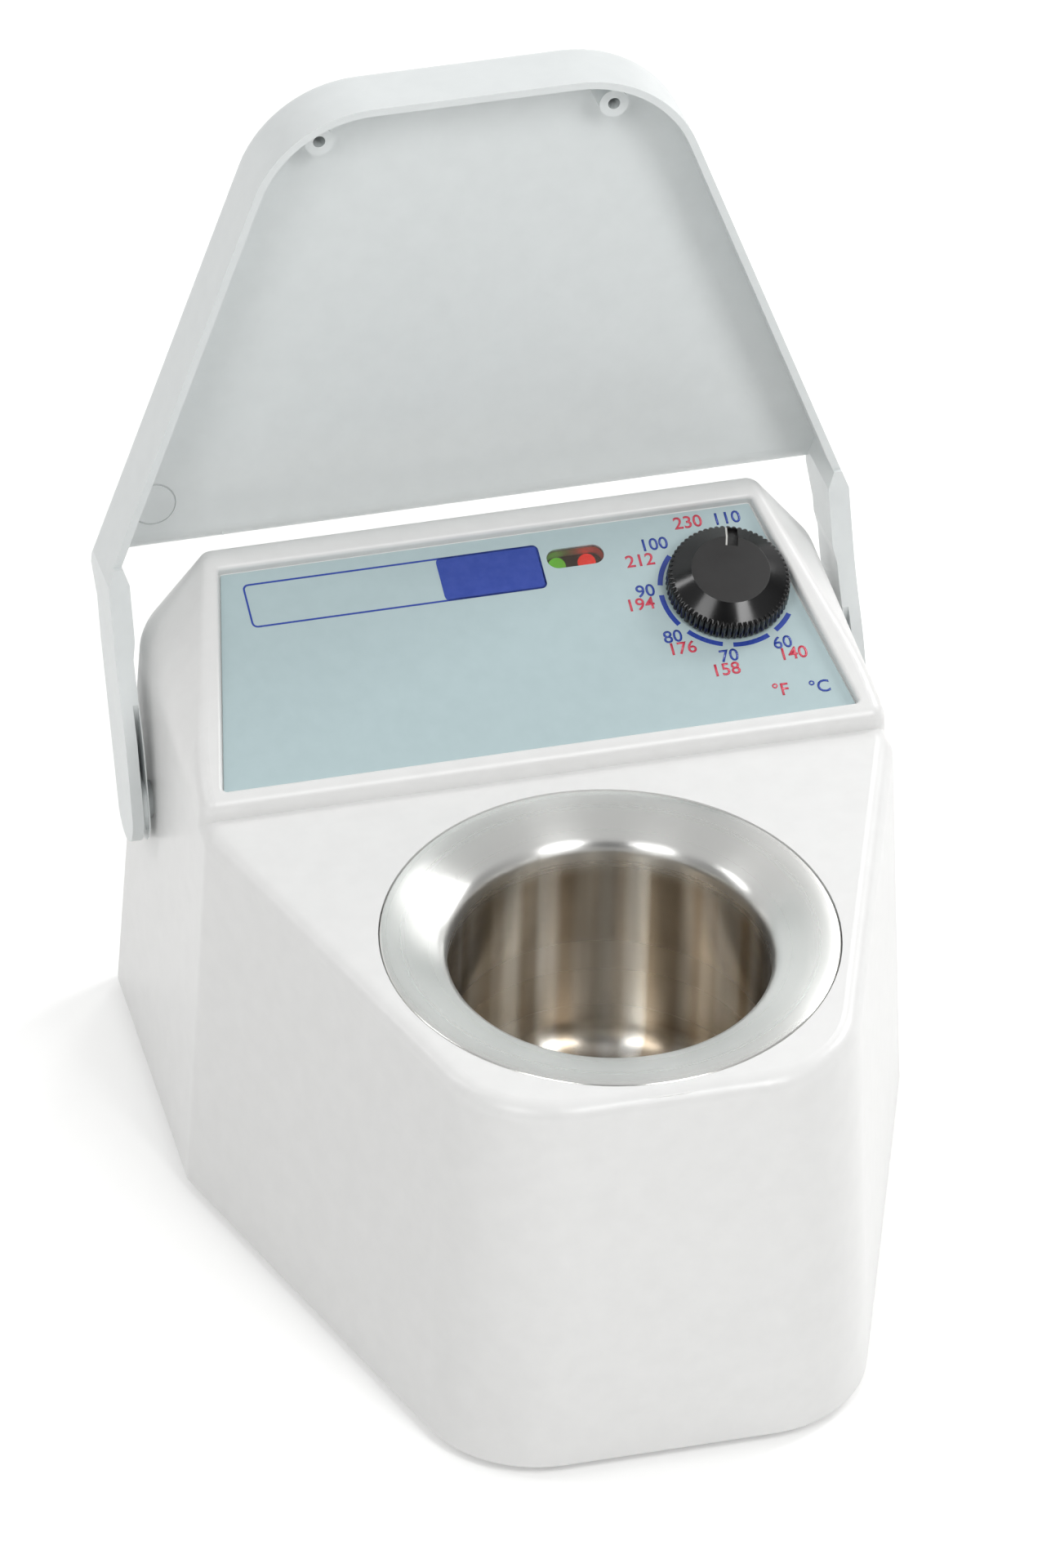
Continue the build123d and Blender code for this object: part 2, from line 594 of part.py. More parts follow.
with BuildPart() as wax_pot:
    with BuildSketch(section_of(POT_PLANE)):
        with BuildLine():
            Polyline(
                (0, -POT_DEPTH), (POT_BORE_R, -POT_DEPTH), (POT_BORE_R, -FUNNEL_DROP), (POT_RIM_R, 0),
                (POT_FLANGE_R, 0), (POT_FLANGE_R, SEAT_H), (POT_HOLE_R - 0.3, SEAT_H),
                (POT_OUTER_R, SEAT_H - FLANGE_T), (POT_OUTER_R, -POT_DEPTH - POT_FLOOR),
                (0, -POT_DEPTH - POT_FLOOR), close=True,
            )
        make_face()
        on_bore = vertices().filter_by(lambda v: abs(v.X - POT_BORE_R) < 0.01)
        fillet(on_bore.filter_by(lambda v: v.Y > -POT_FLOOR_R), POT_LIP_R)
        round_floor = vertices().filter_by(lambda v: POT_BORE_R - 0.01 < v.X < POT_OUTER_R + 0.01)
        fillet(round_floor.filter_by(lambda v: v.Y < POT_FLOOR_R - POT_DEPTH), POT_FLOOR_R)
        fillet(vertices().filter_by(lambda v: v.X > POT_RIM_R + 1 and v.Y > SEAT_H / 2), POT_RIM_EDGE_R)
    revolve(axis=POT_AXIS)
    with BuildSketch(Plane.XY.offset(RING_TOP_Z)):
        with Locations((0, POT_Y)):
            with PolarLocations(LUG_RING_R, LUG_COUNT, start_angle=LUG_START):
                Circle(LUG_R)
    extrude(amount=SEAT_Z - FLANGE_T / 2 - RING_TOP_Z)
    with BuildSketch(Plane.XY.offset(RING_TOP_Z)):
        with Locations((0, POT_Y)):
            with PolarLocations(LUG_RING_R, LUG_COUNT, start_angle=LUG_START):
                Circle(LUG_BORE_R)
    extrude(amount=FLANGE_T, mode=Mode.SUBTRACT)
save(wax_pot.part, "wax_pot")

with BuildPart() as pot_retaining_ring:
    with BuildSketch(Plane.XY.offset(RING_TOP_Z)):
        with Locations((0, POT_Y)):
            Circle(RING_R)
            Circle(POT_OUTER_R + CUTOUT_GAP, mode=Mode.SUBTRACT)
            with PolarLocations(LUG_RING_R, LUG_COUNT, start_angle=LUG_START):
                Circle(SCREW_HOLE_R, mode=Mode.SUBTRACT)
    extrude(amount=-RING_T)
save(pot_retaining_ring.part, "pot_retaining_ring")


def pan_screw(plane, shank_r, shank_l, head_r, head_h):
    """Pan-head screw whose head's underside lies on plane; the shank runs along plane's axis."""
    with BuildPart() as screw:
        with BuildSketch(plane):
            Circle(shank_r)
        extrude(amount=shank_l)
        with BuildSketch(plane):
            Circle(head_r)
        extrude(amount=-head_h)
        fillet(screw.faces().sort_by(Axis(plane.origin, plane.z_dir))[0].edges(), 0.3 * head_h)
        with BuildSketch(plane.offset(-head_h)):
            Rectangle(1.1 * head_r, 0.3 * head_r)
            Rectangle(0.3 * head_r, 1.1 * head_r)
        extrude(amount=0.5 * head_h, mode=Mode.SUBTRACT)
    return screw.part


with BuildPart() as retaining_screws:
    for turn in range(LUG_COUNT):
        angle = radians(LUG_START + turn * 360 / LUG_COUNT)
        place = (LUG_RING_R * cos(angle), POT_Y + LUG_RING_R * sin(angle), RING_TOP_Z - RING_T)
        add(pan_screw(Plane(origin=place), shank_r=1.2, shank_l=RING_T + 2.4, head_r=2.4, head_h=1.6))
save(retaining_screws.part, "retaining_screws")

# ---- what heats the pot ----
BAND_R = POT_OUTER_R + 0.1
BAND_T = 1.6
BAND_LOW_Z = POT_BASE_Z + 8
BAND_H = 24.0
BAND_GAP = 7.0
BAND_BORE_R = 1.6
CLAMP_LENGTH = 6.0
CLAMP_Y = POT_Y + BAND_R + BAND_T + CLAMP_LENGTH / 2
CLAMP_NUT_R = 3.0
CLAMP_NUT_H = 2.0
SLEEVE_R = 31.0
SLEEVE_T = 3.6
SLEEVE_LOW_Z = POT_BASE_Z + 3
SLEEVE_TOP_Z = RING_TOP_Z - RING_T - 2.2
SLEEVE_SLOT = 18.0
CUTOUT_R = 8.0
CUTOUT_H = 6.0
CUTOUT_TAB_X = 4.0
CUTOUT_TAB_SIZE = (0.8, 6.3)
CUTOUT_TAB_L = 5.0
SENSOR_R = 2.0
SENSOR_Y = POT_Y + 14
SENSOR_START_X = -9.0
SENSOR_L = 22.0
SENSOR_TIP_R = 0.8

with BuildPart() as heater_band:
    with BuildSketch(Plane.XY.offset(BAND_LOW_Z)):
        with Locations((0, POT_Y)):
            Circle(BAND_R + BAND_T)
            Circle(BAND_R, mode=Mode.SUBTRACT)
        with Locations((0, POT_Y + BAND_R + BAND_T / 2)):
            Rectangle(BAND_GAP, 3 * BAND_T, mode=Mode.SUBTRACT)
        for side in (1, -1):
            with Locations((side * (BAND_GAP + BAND_T) / 2, POT_Y + BAND_R + BAND_T / 8)):
                Rectangle(BAND_T, CLAMP_LENGTH + BAND_T, align=(Align.CENTER, Align.MIN))
    extrude(amount=BAND_H)
    with BuildSketch(Plane.YZ):
        with Locations((CLAMP_Y, BAND_LOW_Z + BAND_H / 2)):
            Circle(BAND_BORE_R)
    extrude(amount=BAND_GAP, both=True, mode=Mode.SUBTRACT)
save(heater_band.part, "heater_band")

CLAMP_PLANE = Plane(
    origin=(BAND_GAP / 2 + BAND_T, CLAMP_Y, BAND_LOW_Z + BAND_H / 2), x_dir=(0, 1, 0), z_dir=(-1, 0, 0),
)
CLAMP_SPAN = BAND_GAP + 2 * BAND_T
with BuildPart() as heater_clamp_screw:
    add(pan_screw(CLAMP_PLANE, shank_r=1.5, shank_l=CLAMP_SPAN + 3, head_r=2.8, head_h=1.8))
    with BuildSketch(CLAMP_PLANE.offset(CLAMP_SPAN)):
        RegularPolygon(CLAMP_NUT_R, 6)
    extrude(amount=CLAMP_NUT_H)
save(heater_clamp_screw.part, "heater_clamp_screw")

with BuildPart() as insulation_sleeve:
    with BuildSketch(Plane.XY.offset(SLEEVE_LOW_Z)):
        with Locations((0, POT_Y)):
            Circle(SLEEVE_R + SLEEVE_T)
            Circle(SLEEVE_R, mode=Mode.SUBTRACT)
        with Locations((0, POT_Y + SLEEVE_R)):
            Rectangle(SLEEVE_SLOT, 4 * SLEEVE_T, mode=Mode.SUBTRACT)
    extrude(amount=SLEEVE_TOP_Z - SLEEVE_LOW_Z)
save(insulation_sleeve.part, "insulation_sleeve")

with BuildPart() as thermal_cutout:
    with BuildSketch(Plane.XY.offset(POT_BASE_Z)):
        with Locations((0, POT_Y)):
            Circle(CUTOUT_R)
    extrude(amount=-CUTOUT_H)
    with BuildSketch(Plane.XY.offset(POT_BASE_Z - CUTOUT_H)):
        with Locations(*both_sides((CUTOUT_TAB_X, POT_Y))):
            Rectangle(*CUTOUT_TAB_SIZE)
    extrude(amount=-CUTOUT_TAB_L)
save(thermal_cutout.part, "thermal_cutout")

with BuildPart() as temperature_sensor:
    with BuildSketch(Plane.YZ.offset(SENSOR_START_X)):
        with Locations((SENSOR_Y, POT_BASE_Z - SENSOR_R - RUNNING_GAP)):
            Circle(SENSOR_R)
    extrude(amount=SENSOR_L)
    fillet(temperature_sensor.faces().sort_by(Axis.X)[-1].edges(), SENSOR_TIP_R)
save(temperature_sensor.part, "temperature_sensor")

# the clip is bent under the sensor and holds it against the pot
CLIP_T = 0.8
CLIP_W = 6.0
CLIP_TOP_Z = POT_BASE_Z - 0.1
CLIP_LOW_Z = POT_BASE_Z - 4.3
CLIP_START_Y = POT_Y + CUTOUT_R + 0.3
CLIP_BEND_Y = POT_Y + CUTOUT_R + 2.4
CLIP_END_Y = SENSOR_Y + SENSOR_R + 1.0
with BuildPart() as cutout_clip:
    with BuildSketch(Plane.YZ.offset(-CLIP_W / 2)):
        with BuildLine():
            Polyline(
                (CLIP_START_Y, CLIP_TOP_Z), (CLIP_BEND_Y + CLIP_T, CLIP_TOP_Z),
                (CLIP_BEND_Y + CLIP_T, CLIP_LOW_Z), (CLIP_END_Y, CLIP_LOW_Z),
                (CLIP_END_Y, CLIP_LOW_Z - CLIP_T), (CLIP_BEND_Y, CLIP_LOW_Z - CLIP_T),
                (CLIP_BEND_Y, CLIP_TOP_Z - CLIP_T), (CLIP_START_Y, CLIP_TOP_Z - CLIP_T), close=True,
            )
        make_face()
    extrude(amount=CLIP_W)
save(cutout_clip.part, "cutout_clip")

# ---- panel: foil, lens, knob and lamps ----
FOIL_HOLE_R = 3.8
with BuildPart() as panel_foil:
    with BuildSketch(TRAY_FLOOR):
        with BuildLine():
            Polyline((-PANEL_LOW_HALF_W, 0), (PANEL_LOW_HALF_W, 0), (PANEL_TOP_HALF_W, PANEL_LENGTH),
                     (-PANEL_TOP_HALF_W, PANEL_LENGTH), close=True)
        make_face()
        fillet(vertices(), FOIL_CORNER_R)
        with Locations((DIAL_X, DIAL_S)):
            Circle(FOIL_HOLE_R, mode=Mode.SUBTRACT)
        with Locations((WINDOW_X, WINDOW_S)):
            SlotOverall(WINDOW_LENGTH, WINDOW_W, mode=Mode.SUBTRACT)
    extrude(amount=FOIL_T)
save(panel_foil.part, "panel_foil")

with BuildPart() as window_lens:
    with BuildSketch(TRAY_FLOOR.offset(-LENS_T - RUNNING_GAP)):
        with Locations((WINDOW_X, WINDOW_S)):
            SlotOverall(WINDOW_LENGTH + 2 * LENS_BORDER, WINDOW_W + 2 * LENS_BORDER)
    extrude(amount=LENS_T)
save(window_lens.part, "window_lens")

DIAL_SECTION = section_of(DIAL)
DIAL_AXIS = Axis(DIAL.origin, DIAL.z_dir)
POINTER_TURN = Location((0, 0, 0), (0, 0, POINTER_ANGLE))


def below_top(deep, shallow):
    """Solid of revolution between two depths below the knob's top and shoulder."""
    with BuildPart() as layer:
        with BuildSketch(DIAL_SECTION):
            with BuildLine():
                Polyline((0, KNOB_H - deep), (KNOB_TOP_R, KNOB_H - deep), (KNOB_SHOULDER_R, KNOB_SKIRT_H - deep),
                         (KNOB_SHOULDER_R, KNOB_SKIRT_H - shallow), (KNOB_TOP_R, KNOB_H - shallow),
                         (0, KNOB_H - shallow), close=True)
            make_face()
        revolve(axis=DIAL_AXIS)
    return layer.part


def radial_bar(side_offset, width, deep, shallow):
    """Bar along the pointer, beside its middle line, between two depths below the knob's top."""
    with BuildPart() as bar:
        with BuildSketch(DIAL):
            with Locations(POINTER_TURN):
                with Locations((SLOT_INNER_R, side_offset)):
                    Rectangle(SLOT_OUTER_R - SLOT_INNER_R, width, align=(Align.MIN, Align.CENTER))
        extrude(amount=2 * KNOB_H)
        add(below_top(deep, shallow), mode=Mode.INTERSECT)
    return bar.part


with BuildPart() as knob_pointer:
    add(radial_bar((SLOT_W - LINE_W) / 2, LINE_W, SLOT_DEPTH, RUNNING_GAP))
save(knob_pointer.part, "knob_pointer")

with BuildPart() as knob:
    with BuildSketch(DIAL_SECTION):
        with BuildLine():
            Polyline((0, KNOB_CAVITY_H), (KNOB_CAVITY_R, KNOB_CAVITY_H), (KNOB_CAVITY_R, KNOB_FLOAT),
                     (KNOB_R, KNOB_FLOAT), (KNOB_R - KNOB_DRAFT, KNOB_SKIRT_H), (KNOB_SHOULDER_R, KNOB_SKIRT_H),
                     (KNOB_TOP_R, KNOB_H), (0, KNOB_H), close=True)
        make_face()
    revolve(axis=DIAL_AXIS)
    top_edge = knob.edges().filter_by(lambda e: abs(DIAL.to_local_coords(e.center()).Z - KNOB_H) < 0.01)
    fillet(top_edge.filter_by(lambda e: e.length > 2 * KNOB_TOP_R), KNOB_TOP_EDGE_R)
    with BuildSketch(DIAL.offset(KNOB_FLOAT)):
        with PolarLocations(KNOB_R + FLUTE_OFFSET, FLUTE_COUNT):
            Circle(FLUTE_R)
    extrude(amount=KNOB_SKIRT_H - KNOB_FLOAT, mode=Mode.SUBTRACT)
    with BuildSketch(DIAL.offset(KNOB_CAVITY_H)):
        Circle(SHAFT_R + SHAFT_FIT)
    extrude(amount=SHAFT_TOP_H + RUNNING_GAP - KNOB_CAVITY_H, mode=Mode.SUBTRACT)
    add(radial_bar(0, SLOT_W, SLOT_DEPTH, -SLOT_DEPTH), mode=Mode.SUBTRACT)
save(knob.part, "knob")

POT_BODY_TOP_H = -FOIL_T - WALL - 0.1
POT_BODY_R = 8.2
POT_BODY_H = 7.5
POT_TERMINALS_Y = -6.0
POT_TERMINALS_SIZE = (13.0, 9.0)
BUSHING_R = 3.5
BUSHING_TOP_H = 2.6
SHAFT_TAIL = 4.8
SHAFT_SLOT_W = 0.8
SHAFT_SLOT_DEPTH = 1.2
WASHER_R = 6.0
WASHER_T = 0.5
NUT_R = 5.4
NUT_T = 1.8
with BuildPart() as potentiometer:
    with BuildSketch(DIAL.offset(POT_BODY_TOP_H)):
        Circle(POT_BODY_R)
        with Locations((0, POT_TERMINALS_Y)):
            Rectangle(*POT_TERMINALS_SIZE)
    extrude(amount=-POT_BODY_H)
    with BuildSketch(DIAL.offset(POT_BODY_TOP_H)):
        Circle(BUSHING_R)
    extrude(amount=BUSHING_TOP_H - POT_BODY_TOP_H)
    with BuildSketch(DIAL.offset(BUSHING_TOP_H)):
        Circle(SHAFT_R + RUNNING_GAP)
    extrude(amount=POT_BODY_TOP_H - SHAFT_TAIL - CUTOUT_GAP - BUSHING_TOP_H, mode=Mode.SUBTRACT)
save(potentiometer.part, "potentiometer")

with BuildPart() as potentiometer_shaft:
    with BuildSketch(DIAL.offset(POT_BODY_TOP_H - SHAFT_TAIL)):
        Circle(SHAFT_R)
    extrude(amount=SHAFT_TOP_H - POT_BODY_TOP_H + SHAFT_TAIL)
    with BuildSketch(DIAL.offset(SHAFT_TOP_H)):
        Rectangle(2 * SHAFT_R, SHAFT_SLOT_W)
    extrude(amount=-SHAFT_SLOT_DEPTH, mode=Mode.SUBTRACT)
save(potentiometer_shaft.part, "potentiometer_shaft")

with BuildPart() as potentiometer_washer:
    with BuildSketch(DIAL):
        Circle(WASHER_R)
        Circle(BUSHING_R + SHAFT_FIT, mode=Mode.SUBTRACT)
    extrude(amount=WASHER_T)
save(potentiometer_washer.part, "potentiometer_washer")

with BuildPart() as potentiometer_nut:
    with BuildSketch(DIAL.offset(WASHER_T)):
        RegularPolygon(NUT_R, 6)
        Circle(BUSHING_R + SHAFT_FIT, mode=Mode.SUBTRACT)
    extrude(amount=NUT_T)
save(potentiometer_nut.part, "potentiometer_nut")

HOLDER_TOP_H = -2.4
HOLDER_NECK = 4.6
HOLDER_FOOT = (14.0, 7.0)
LEAD_HOLE_R = 0.9
LED_PLACES = [(GREEN_LED_X, WINDOW_S), (RED_LED_X, WINDOW_S)]
with BuildPart() as led_holder:
    with BuildSketch(PANEL.offset(HOLDER_TOP_H)):
        with Locations((WINDOW_X, WINDOW_S)):
            SlotOverall(WINDOW_LENGTH - CUTOUT_GAP, WINDOW_W - CUTOUT_GAP)
        with Locations(*LED_PLACES):
            Circle(LED_R + SHAFT_FIT, mode=Mode.SUBTRACT)
    extrude(amount=-HOLDER_NECK)
    with BuildSketch(PANEL.offset(HOLDER_TOP_H - HOLDER_NECK)):
        with Locations((WINDOW_X, WINDOW_S)):
            Rectangle(*HOLDER_FOOT)
        with Locations(*LED_PLACES):
            Circle(LEAD_HOLE_R, mode=Mode.SUBTRACT)
    extrude(amount=BOARD_H + BOARD_T - HOLDER_TOP_H + HOLDER_NECK)
save(led_holder.part, "led_holder")

for led_name, led_place in zip(("green_led", "red_led"), LED_PLACES):
    with BuildPart() as led:
        with BuildSketch(PANEL.offset(LED_TOP_H)):
            with Locations(led_place):
                Circle(LED_R)
        extrude(amount=-LED_LENGTH)
        fillet(led.edges().sort_by(Axis(PANEL.origin, PANEL.z_dir))[-1], LED_DOME_R)
    save(led.part, led_name)

# ---- control board and what it carries ----
with BuildPart() as control_board:
    with BuildSketch(BOARD):
        with Locations((0, BOARD_S)):
            Rectangle(BOARD_W, BOARD_L)
        with Locations(*BOARD_POSTS):
            Circle(SPACER_BORE_R, mode=Mode.SUBTRACT)
    extrude(amount=BOARD_T)
save(control_board.part, "control_board")

with BuildPart() as board_posts:
    with BuildSketch(BOARD.offset(BOARD_T)):
        with Locations(*BOARD_POSTS):
            Circle(SPACER_R)
            Circle(SPACER_BORE_R, mode=Mode.SUBTRACT)
    extrude(amount=-FOIL_T - WALL - SHAFT_FIT - BOARD_H - BOARD_T)
save(board_posts.part, "board_posts")

with BuildPart() as board_screws:
    for post in BOARD_POSTS:
        place = PANEL.from_local_coords(Vector(post[0], post[1], BOARD_H))
        screw_plane = Plane(origin=place, x_dir=(1, 0, 0), z_dir=SLOPE)
        add(pan_screw(screw_plane, shank_r=1.25, shank_l=7.0, head_r=2.4, head_h=1.8))
save(board_screws.part, "board_screws")

with BuildPart() as relay:
    with BuildSketch(BOARD):
        with Locations(RELAY_AT):
            Rectangle(*RELAY_SIZE)
    extrude(amount=-RELAY_H)
    fillet(relay.edges().filter_by(lambda e: abs(e.length - RELAY_H) < 0.1), CLIP_T)
save(relay.part, "relay")

with BuildPart() as fuse_holder:
    with BuildSketch(BOARD):
        with Locations(FUSE_AT):
            Rectangle(*FUSE_CLIP_SIZE)
    extrude(amount=-FUSE_CLIP_H)
    with BuildSketch(BOARD.offset(-FUSE_CLIP_H)):
        with Locations(FUSE_AT):
            Rectangle(*FUSE_CAP_SIZE)
    extrude(amount=-FUSE_CAP_H)
save(fuse_holder.part, "fuse_holder")

with BuildPart() as terminal_block:
    with BuildSketch(BOARD):
        with Locations((0, TERMINAL_S)):
            Rectangle(TERMINAL_COUNT * TERMINAL_PITCH, TERMINAL_W)
    extrude(amount=-TERMINAL_BLOCK_H)
    with BuildSketch(PANEL.offset(TERMINAL_H)):
        with Locations((0, TERMINAL_S)):
            with GridLocations(TERMINAL_PITCH, 1, TERMINAL_COUNT, 1):
                Circle(TERMINAL_BORE_R)
    extrude(amount=TERMINAL_BORE_DEPTH, mode=Mode.SUBTRACT)
save(terminal_block.part, "terminal_block")

# ---- chassis: base plate, transformer, feet ----
with BuildPart() as base_plate:
    add(pot_bay_form(WALL + PLATE_GAP, PLATE_TOP_Z + 1))
    add(console_form(WALL + PLATE_GAP, WALL))
    with Locations((0, 0, PLATE_Z)):
        Box(4 * HALF_W, 4 * HALF_W, PLATE_T, align=(Align.CENTER, Align.CENTER, Align.MIN), mode=Mode.INTERSECT)
    with BuildSketch(Plane.XY.offset(PLATE_Z)):
        with Locations(*BASE_BOSSES):
            Circle(SCREW_HOLE_R)
        with Locations((0, POT_Y)):
            with GridLocations(VENT_PITCH, 1, VENT_COUNT, 1):
                SlotOverall(VENT_L, VENT_W, rotation=90)
    extrude(amount=PLATE_T, mode=Mode.SUBTRACT)
    with BuildSketch(Plane.XY.offset(PLATE_Z)):
        with Locations(*BASE_BOSSES):
            Circle(SCREW_HEAD_HOLE_R)
    extrude(amount=SCREW_HEAD_DEPTH, mode=Mode.SUBTRACT)
save(base_plate.part, "base_plate")

with BuildPart() as rubber_feet:
    with BuildSketch(Plane.XY):
        with Locations(*both_sides(FRONT_FOOT), *both_sides(REAR_FOOT)):
            Circle(FOOT_R)
    extrude(amount=PLATE_Z)
    fillet(rubber_feet.edges().filter_by(lambda e: e.center().Z < 0.1), FOOT_EDGE_R)
save(rubber_feet.part, "rubber_feet")

with BuildPart() as base_screws:
    for spot in BASE_BOSSES:
        screw_plane = Plane(origin=(spot[0], spot[1], PLATE_Z + SCREW_HEAD_DEPTH))
        add(pan_screw(screw_plane, shank_r=1.45, shank_l=10.0, head_r=2.9, head_h=1.2))
save(base_screws.part, "base_screws")

TRANSFORMER_Y = 26.0
CORE_SIZE = (34.0, 24.0)
CORE_H = 26.0
COIL_SIZE = (26.0, 32.0)
COIL_H = 18.0
with BuildPart() as transformer:
    with BuildSketch(Plane.XY.offset(PLATE_TOP_Z)):
        with Locations((0, TRANSFORMER_Y)):
            Rectangle(*CORE_SIZE)
    extrude(amount=CORE_H)
    with BuildSketch(Plane.XY.offset(PLATE_TOP_Z + (CORE_H - COIL_H) / 2)):
        with Locations((0, TRANSFORMER_Y)):
            Rectangle(*COIL_SIZE)
    extrude(amount=COIL_H)
save(transformer.part, "transformer")

# ---- back wall: mains inlet and switch ----
with BuildPart() as inlet_pins:
    with BuildSketch(BACK.offset(-PIN_BACK_DEPTH)):
        with Locations((-INLET_X - PIN_PITCH, -PIN_RISE), (-INLET_X + PIN_PITCH, -PIN_RISE), (-INLET_X, PIN_RISE)):
            Rectangle(*PIN_SIZE)
    extrude(amount=PIN_BACK_DEPTH - PIN_TIP_DEPTH)
save(inlet_pins.part, "inlet_pins")

with BuildPart() as mains_inlet:
    with BuildSketch(BACK):
        with Locations(INLET_CENTRE):
            RectangleRounded(*INLET_FLANGE, INLET_FLANGE_R)
        with Locations(*INLET_SCREWS):
            Circle(SCREW_HOLE_R, mode=Mode.SUBTRACT)
    extrude(amount=INLET_FLANGE_T)
    with BuildSketch(BACK):
        with Locations(INLET_CENTRE):
            Rectangle(*INLET_BODY)
    extrude(amount=-INLET_BODY_DEPTH)
    with BuildSketch(BACK.offset(INLET_FLANGE_T)):
        with Locations(INLET_CENTRE):
            Rectangle(*INLET_MOUTH)
        chamfer(vertices().filter_by(lambda v: v.Y > 0), INLET_MOUTH_CHAMFER)
    extrude(amount=-INLET_MOUTH_DEPTH - INLET_FLANGE_T, mode=Mode.SUBTRACT)
    add(inlet_pins.part, mode=Mode.SUBTRACT)
save(mains_inlet.part, "mains_inlet")

with BuildPart() as inlet_screws:
    for spot in INLET_SCREWS:
        place = BACK.from_local_coords(Vector(spot[0], spot[1], INLET_FLANGE_T))
        screw_plane = Plane(origin=place, x_dir=(1, 0, 0), z_dir=-BACK.z_dir)
        add(pan_screw(screw_plane, shank_r=1.4, shank_l=8.0, head_r=2.6, head_h=1.6))
save(inlet_screws.part, "inlet_screws")

ROCKER_PIVOT = BACK.from_local_coords(Vector(-SWITCH_X, 0, -ROCKER_DEPTH))
ROCKER_PLANE = Plane(origin=ROCKER_PIVOT, x_dir=(0, 1, 0), z_dir=(1, 0, 0))
ROCKER_PIN_HALF_L = SWITCH_MOUTH[0] / 2 + 0.7
with BuildPart() as switch_frame:
    with BuildSketch(BACK):
        with Locations(SWITCH_CENTRE):
            RectangleRounded(*SWITCH_FLANGE, SWITCH_FLANGE_R)
    extrude(amount=SWITCH_FLANGE_T)
    with BuildSketch(BACK):
        with Locations(SWITCH_CENTRE):
            Rectangle(*SWITCH_BODY)
    extrude(amount=-SWITCH_BODY_DEPTH)
    with BuildSketch(BACK.offset(SWITCH_FLANGE_T)):
        with Locations(SWITCH_CENTRE):
            Rectangle(*SWITCH_MOUTH)
    extrude(amount=-SWITCH_MOUTH_DEPTH - SWITCH_FLANGE_T, mode=Mode.SUBTRACT)
    with BuildSketch(BACK.offset(-SWITCH_BODY_DEPTH)):
        with Locations(SWITCH_CENTRE):
            with GridLocations(1, TAB_PITCH, 1, 2):
                Rectangle(*TAB_SIZE)
    extrude(amount=-TAB_LENGTH)
    with BuildSketch(ROCKER_PLANE):
        Circle(ROCKER_PIN_R + RUNNING_GAP)
    extrude(amount=ROCKER_PIN_HALF_L + 0.1, both=True, mode=Mode.SUBTRACT)
save(switch_frame.part, "switch_frame")

with BuildPart() as switch_rocker:
    with BuildSketch(ROCKER_PLANE.offset(-ROCKER_HALF_W)):
        with BuildLine():
            # side view of the rocker, level: a shallow V of two thumb faces over a rounded keel
            heel = ROCKER_HALF_L - 0.4
            Polyline((-2.4, -heel), (3.4, -ROCKER_HALF_L), (2.2, 0), (3.4, ROCKER_HALF_L), (-2.4, heel))
            ThreePointArc((-2.4, heel), (-4.6, 0), (-2.4, -heel))
        make_face()
    extrude(amount=2 * ROCKER_HALF_W)
    with BuildSketch(ROCKER_PLANE):
        Circle(ROCKER_PIN_R)
    extrude(amount=ROCKER_PIN_HALF_L, both=True)
switch_rocker.part = switch_rocker.part.rotate(Axis(ROCKER_PIVOT, (1, 0, 0)), ROCKER_THROW / 2)
save(switch_rocker.part, "switch_rocker")

# ---- wiring ----
WIRE_R = 1.0
WIRE_BEND = 3.0
WIRE_REACH = 2.0             # a wire's bare end goes this far into its terminal


def wire(points):
    """Round wire along straight runs joined by bends."""
    with BuildPart() as run:
        with BuildLine() as path:
            FilletPolyline(*points, radius=WIRE_BEND)
        with BuildSketch(path.line ^ 0):
            Circle(WIRE_R)
        sweep()
    return run.part


def terminal(index, depth):
    """Point on the axis of a terminal, counted from the middle one, depth below its mouth."""
    return PANEL.from_local_coords(Vector(index * TERMINAL_PITCH, TERMINAL_S, TERMINAL_H - depth))


def fitting_wire(x, rise, start_depth, turn_depth, level_z, index):
    """Wire from a tab on the back wall up to a terminal, crossing at height level_z."""
    tab = BACK.from_local_coords(Vector(-x, rise, -start_depth))
    turn = BACK.from_local_coords(Vector(-x, rise, -turn_depth))
    mouth = terminal(index, -WIRE_REACH)
    under = terminal(index, (mouth.Z - level_z) / cos(radians(TILT)) - WIRE_REACH)
    return wire([tab, turn, Vector(x, turn.Y, level_z), under, mouth])


TAB_DEPTH = SWITCH_BODY_DEPTH + TAB_LENGTH
with BuildPart() as mains_wires:
    add(fitting_wire(INLET_X - PIN_PITCH, -PIN_RISE, PIN_BACK_DEPTH, turn_depth=33, level_z=46.5, index=-2))
    add(fitting_wire(INLET_X + PIN_PITCH, -PIN_RISE, PIN_BACK_DEPTH, turn_depth=33, level_z=49.0, index=-1))
    add(fitting_wire(INLET_X, PIN_RISE, PIN_BACK_DEPTH, turn_depth=31, level_z=44.0, index=0))
    add(fitting_wire(SWITCH_X, TAB_PITCH / 2, TAB_DEPTH, turn_depth=28, level_z=46.5, index=1))
    add(fitting_wire(SWITCH_X, -TAB_PITCH / 2, TAB_DEPTH, turn_depth=33, level_z=49.5, index=2))
save(mains_wires.part, "mains_wires")

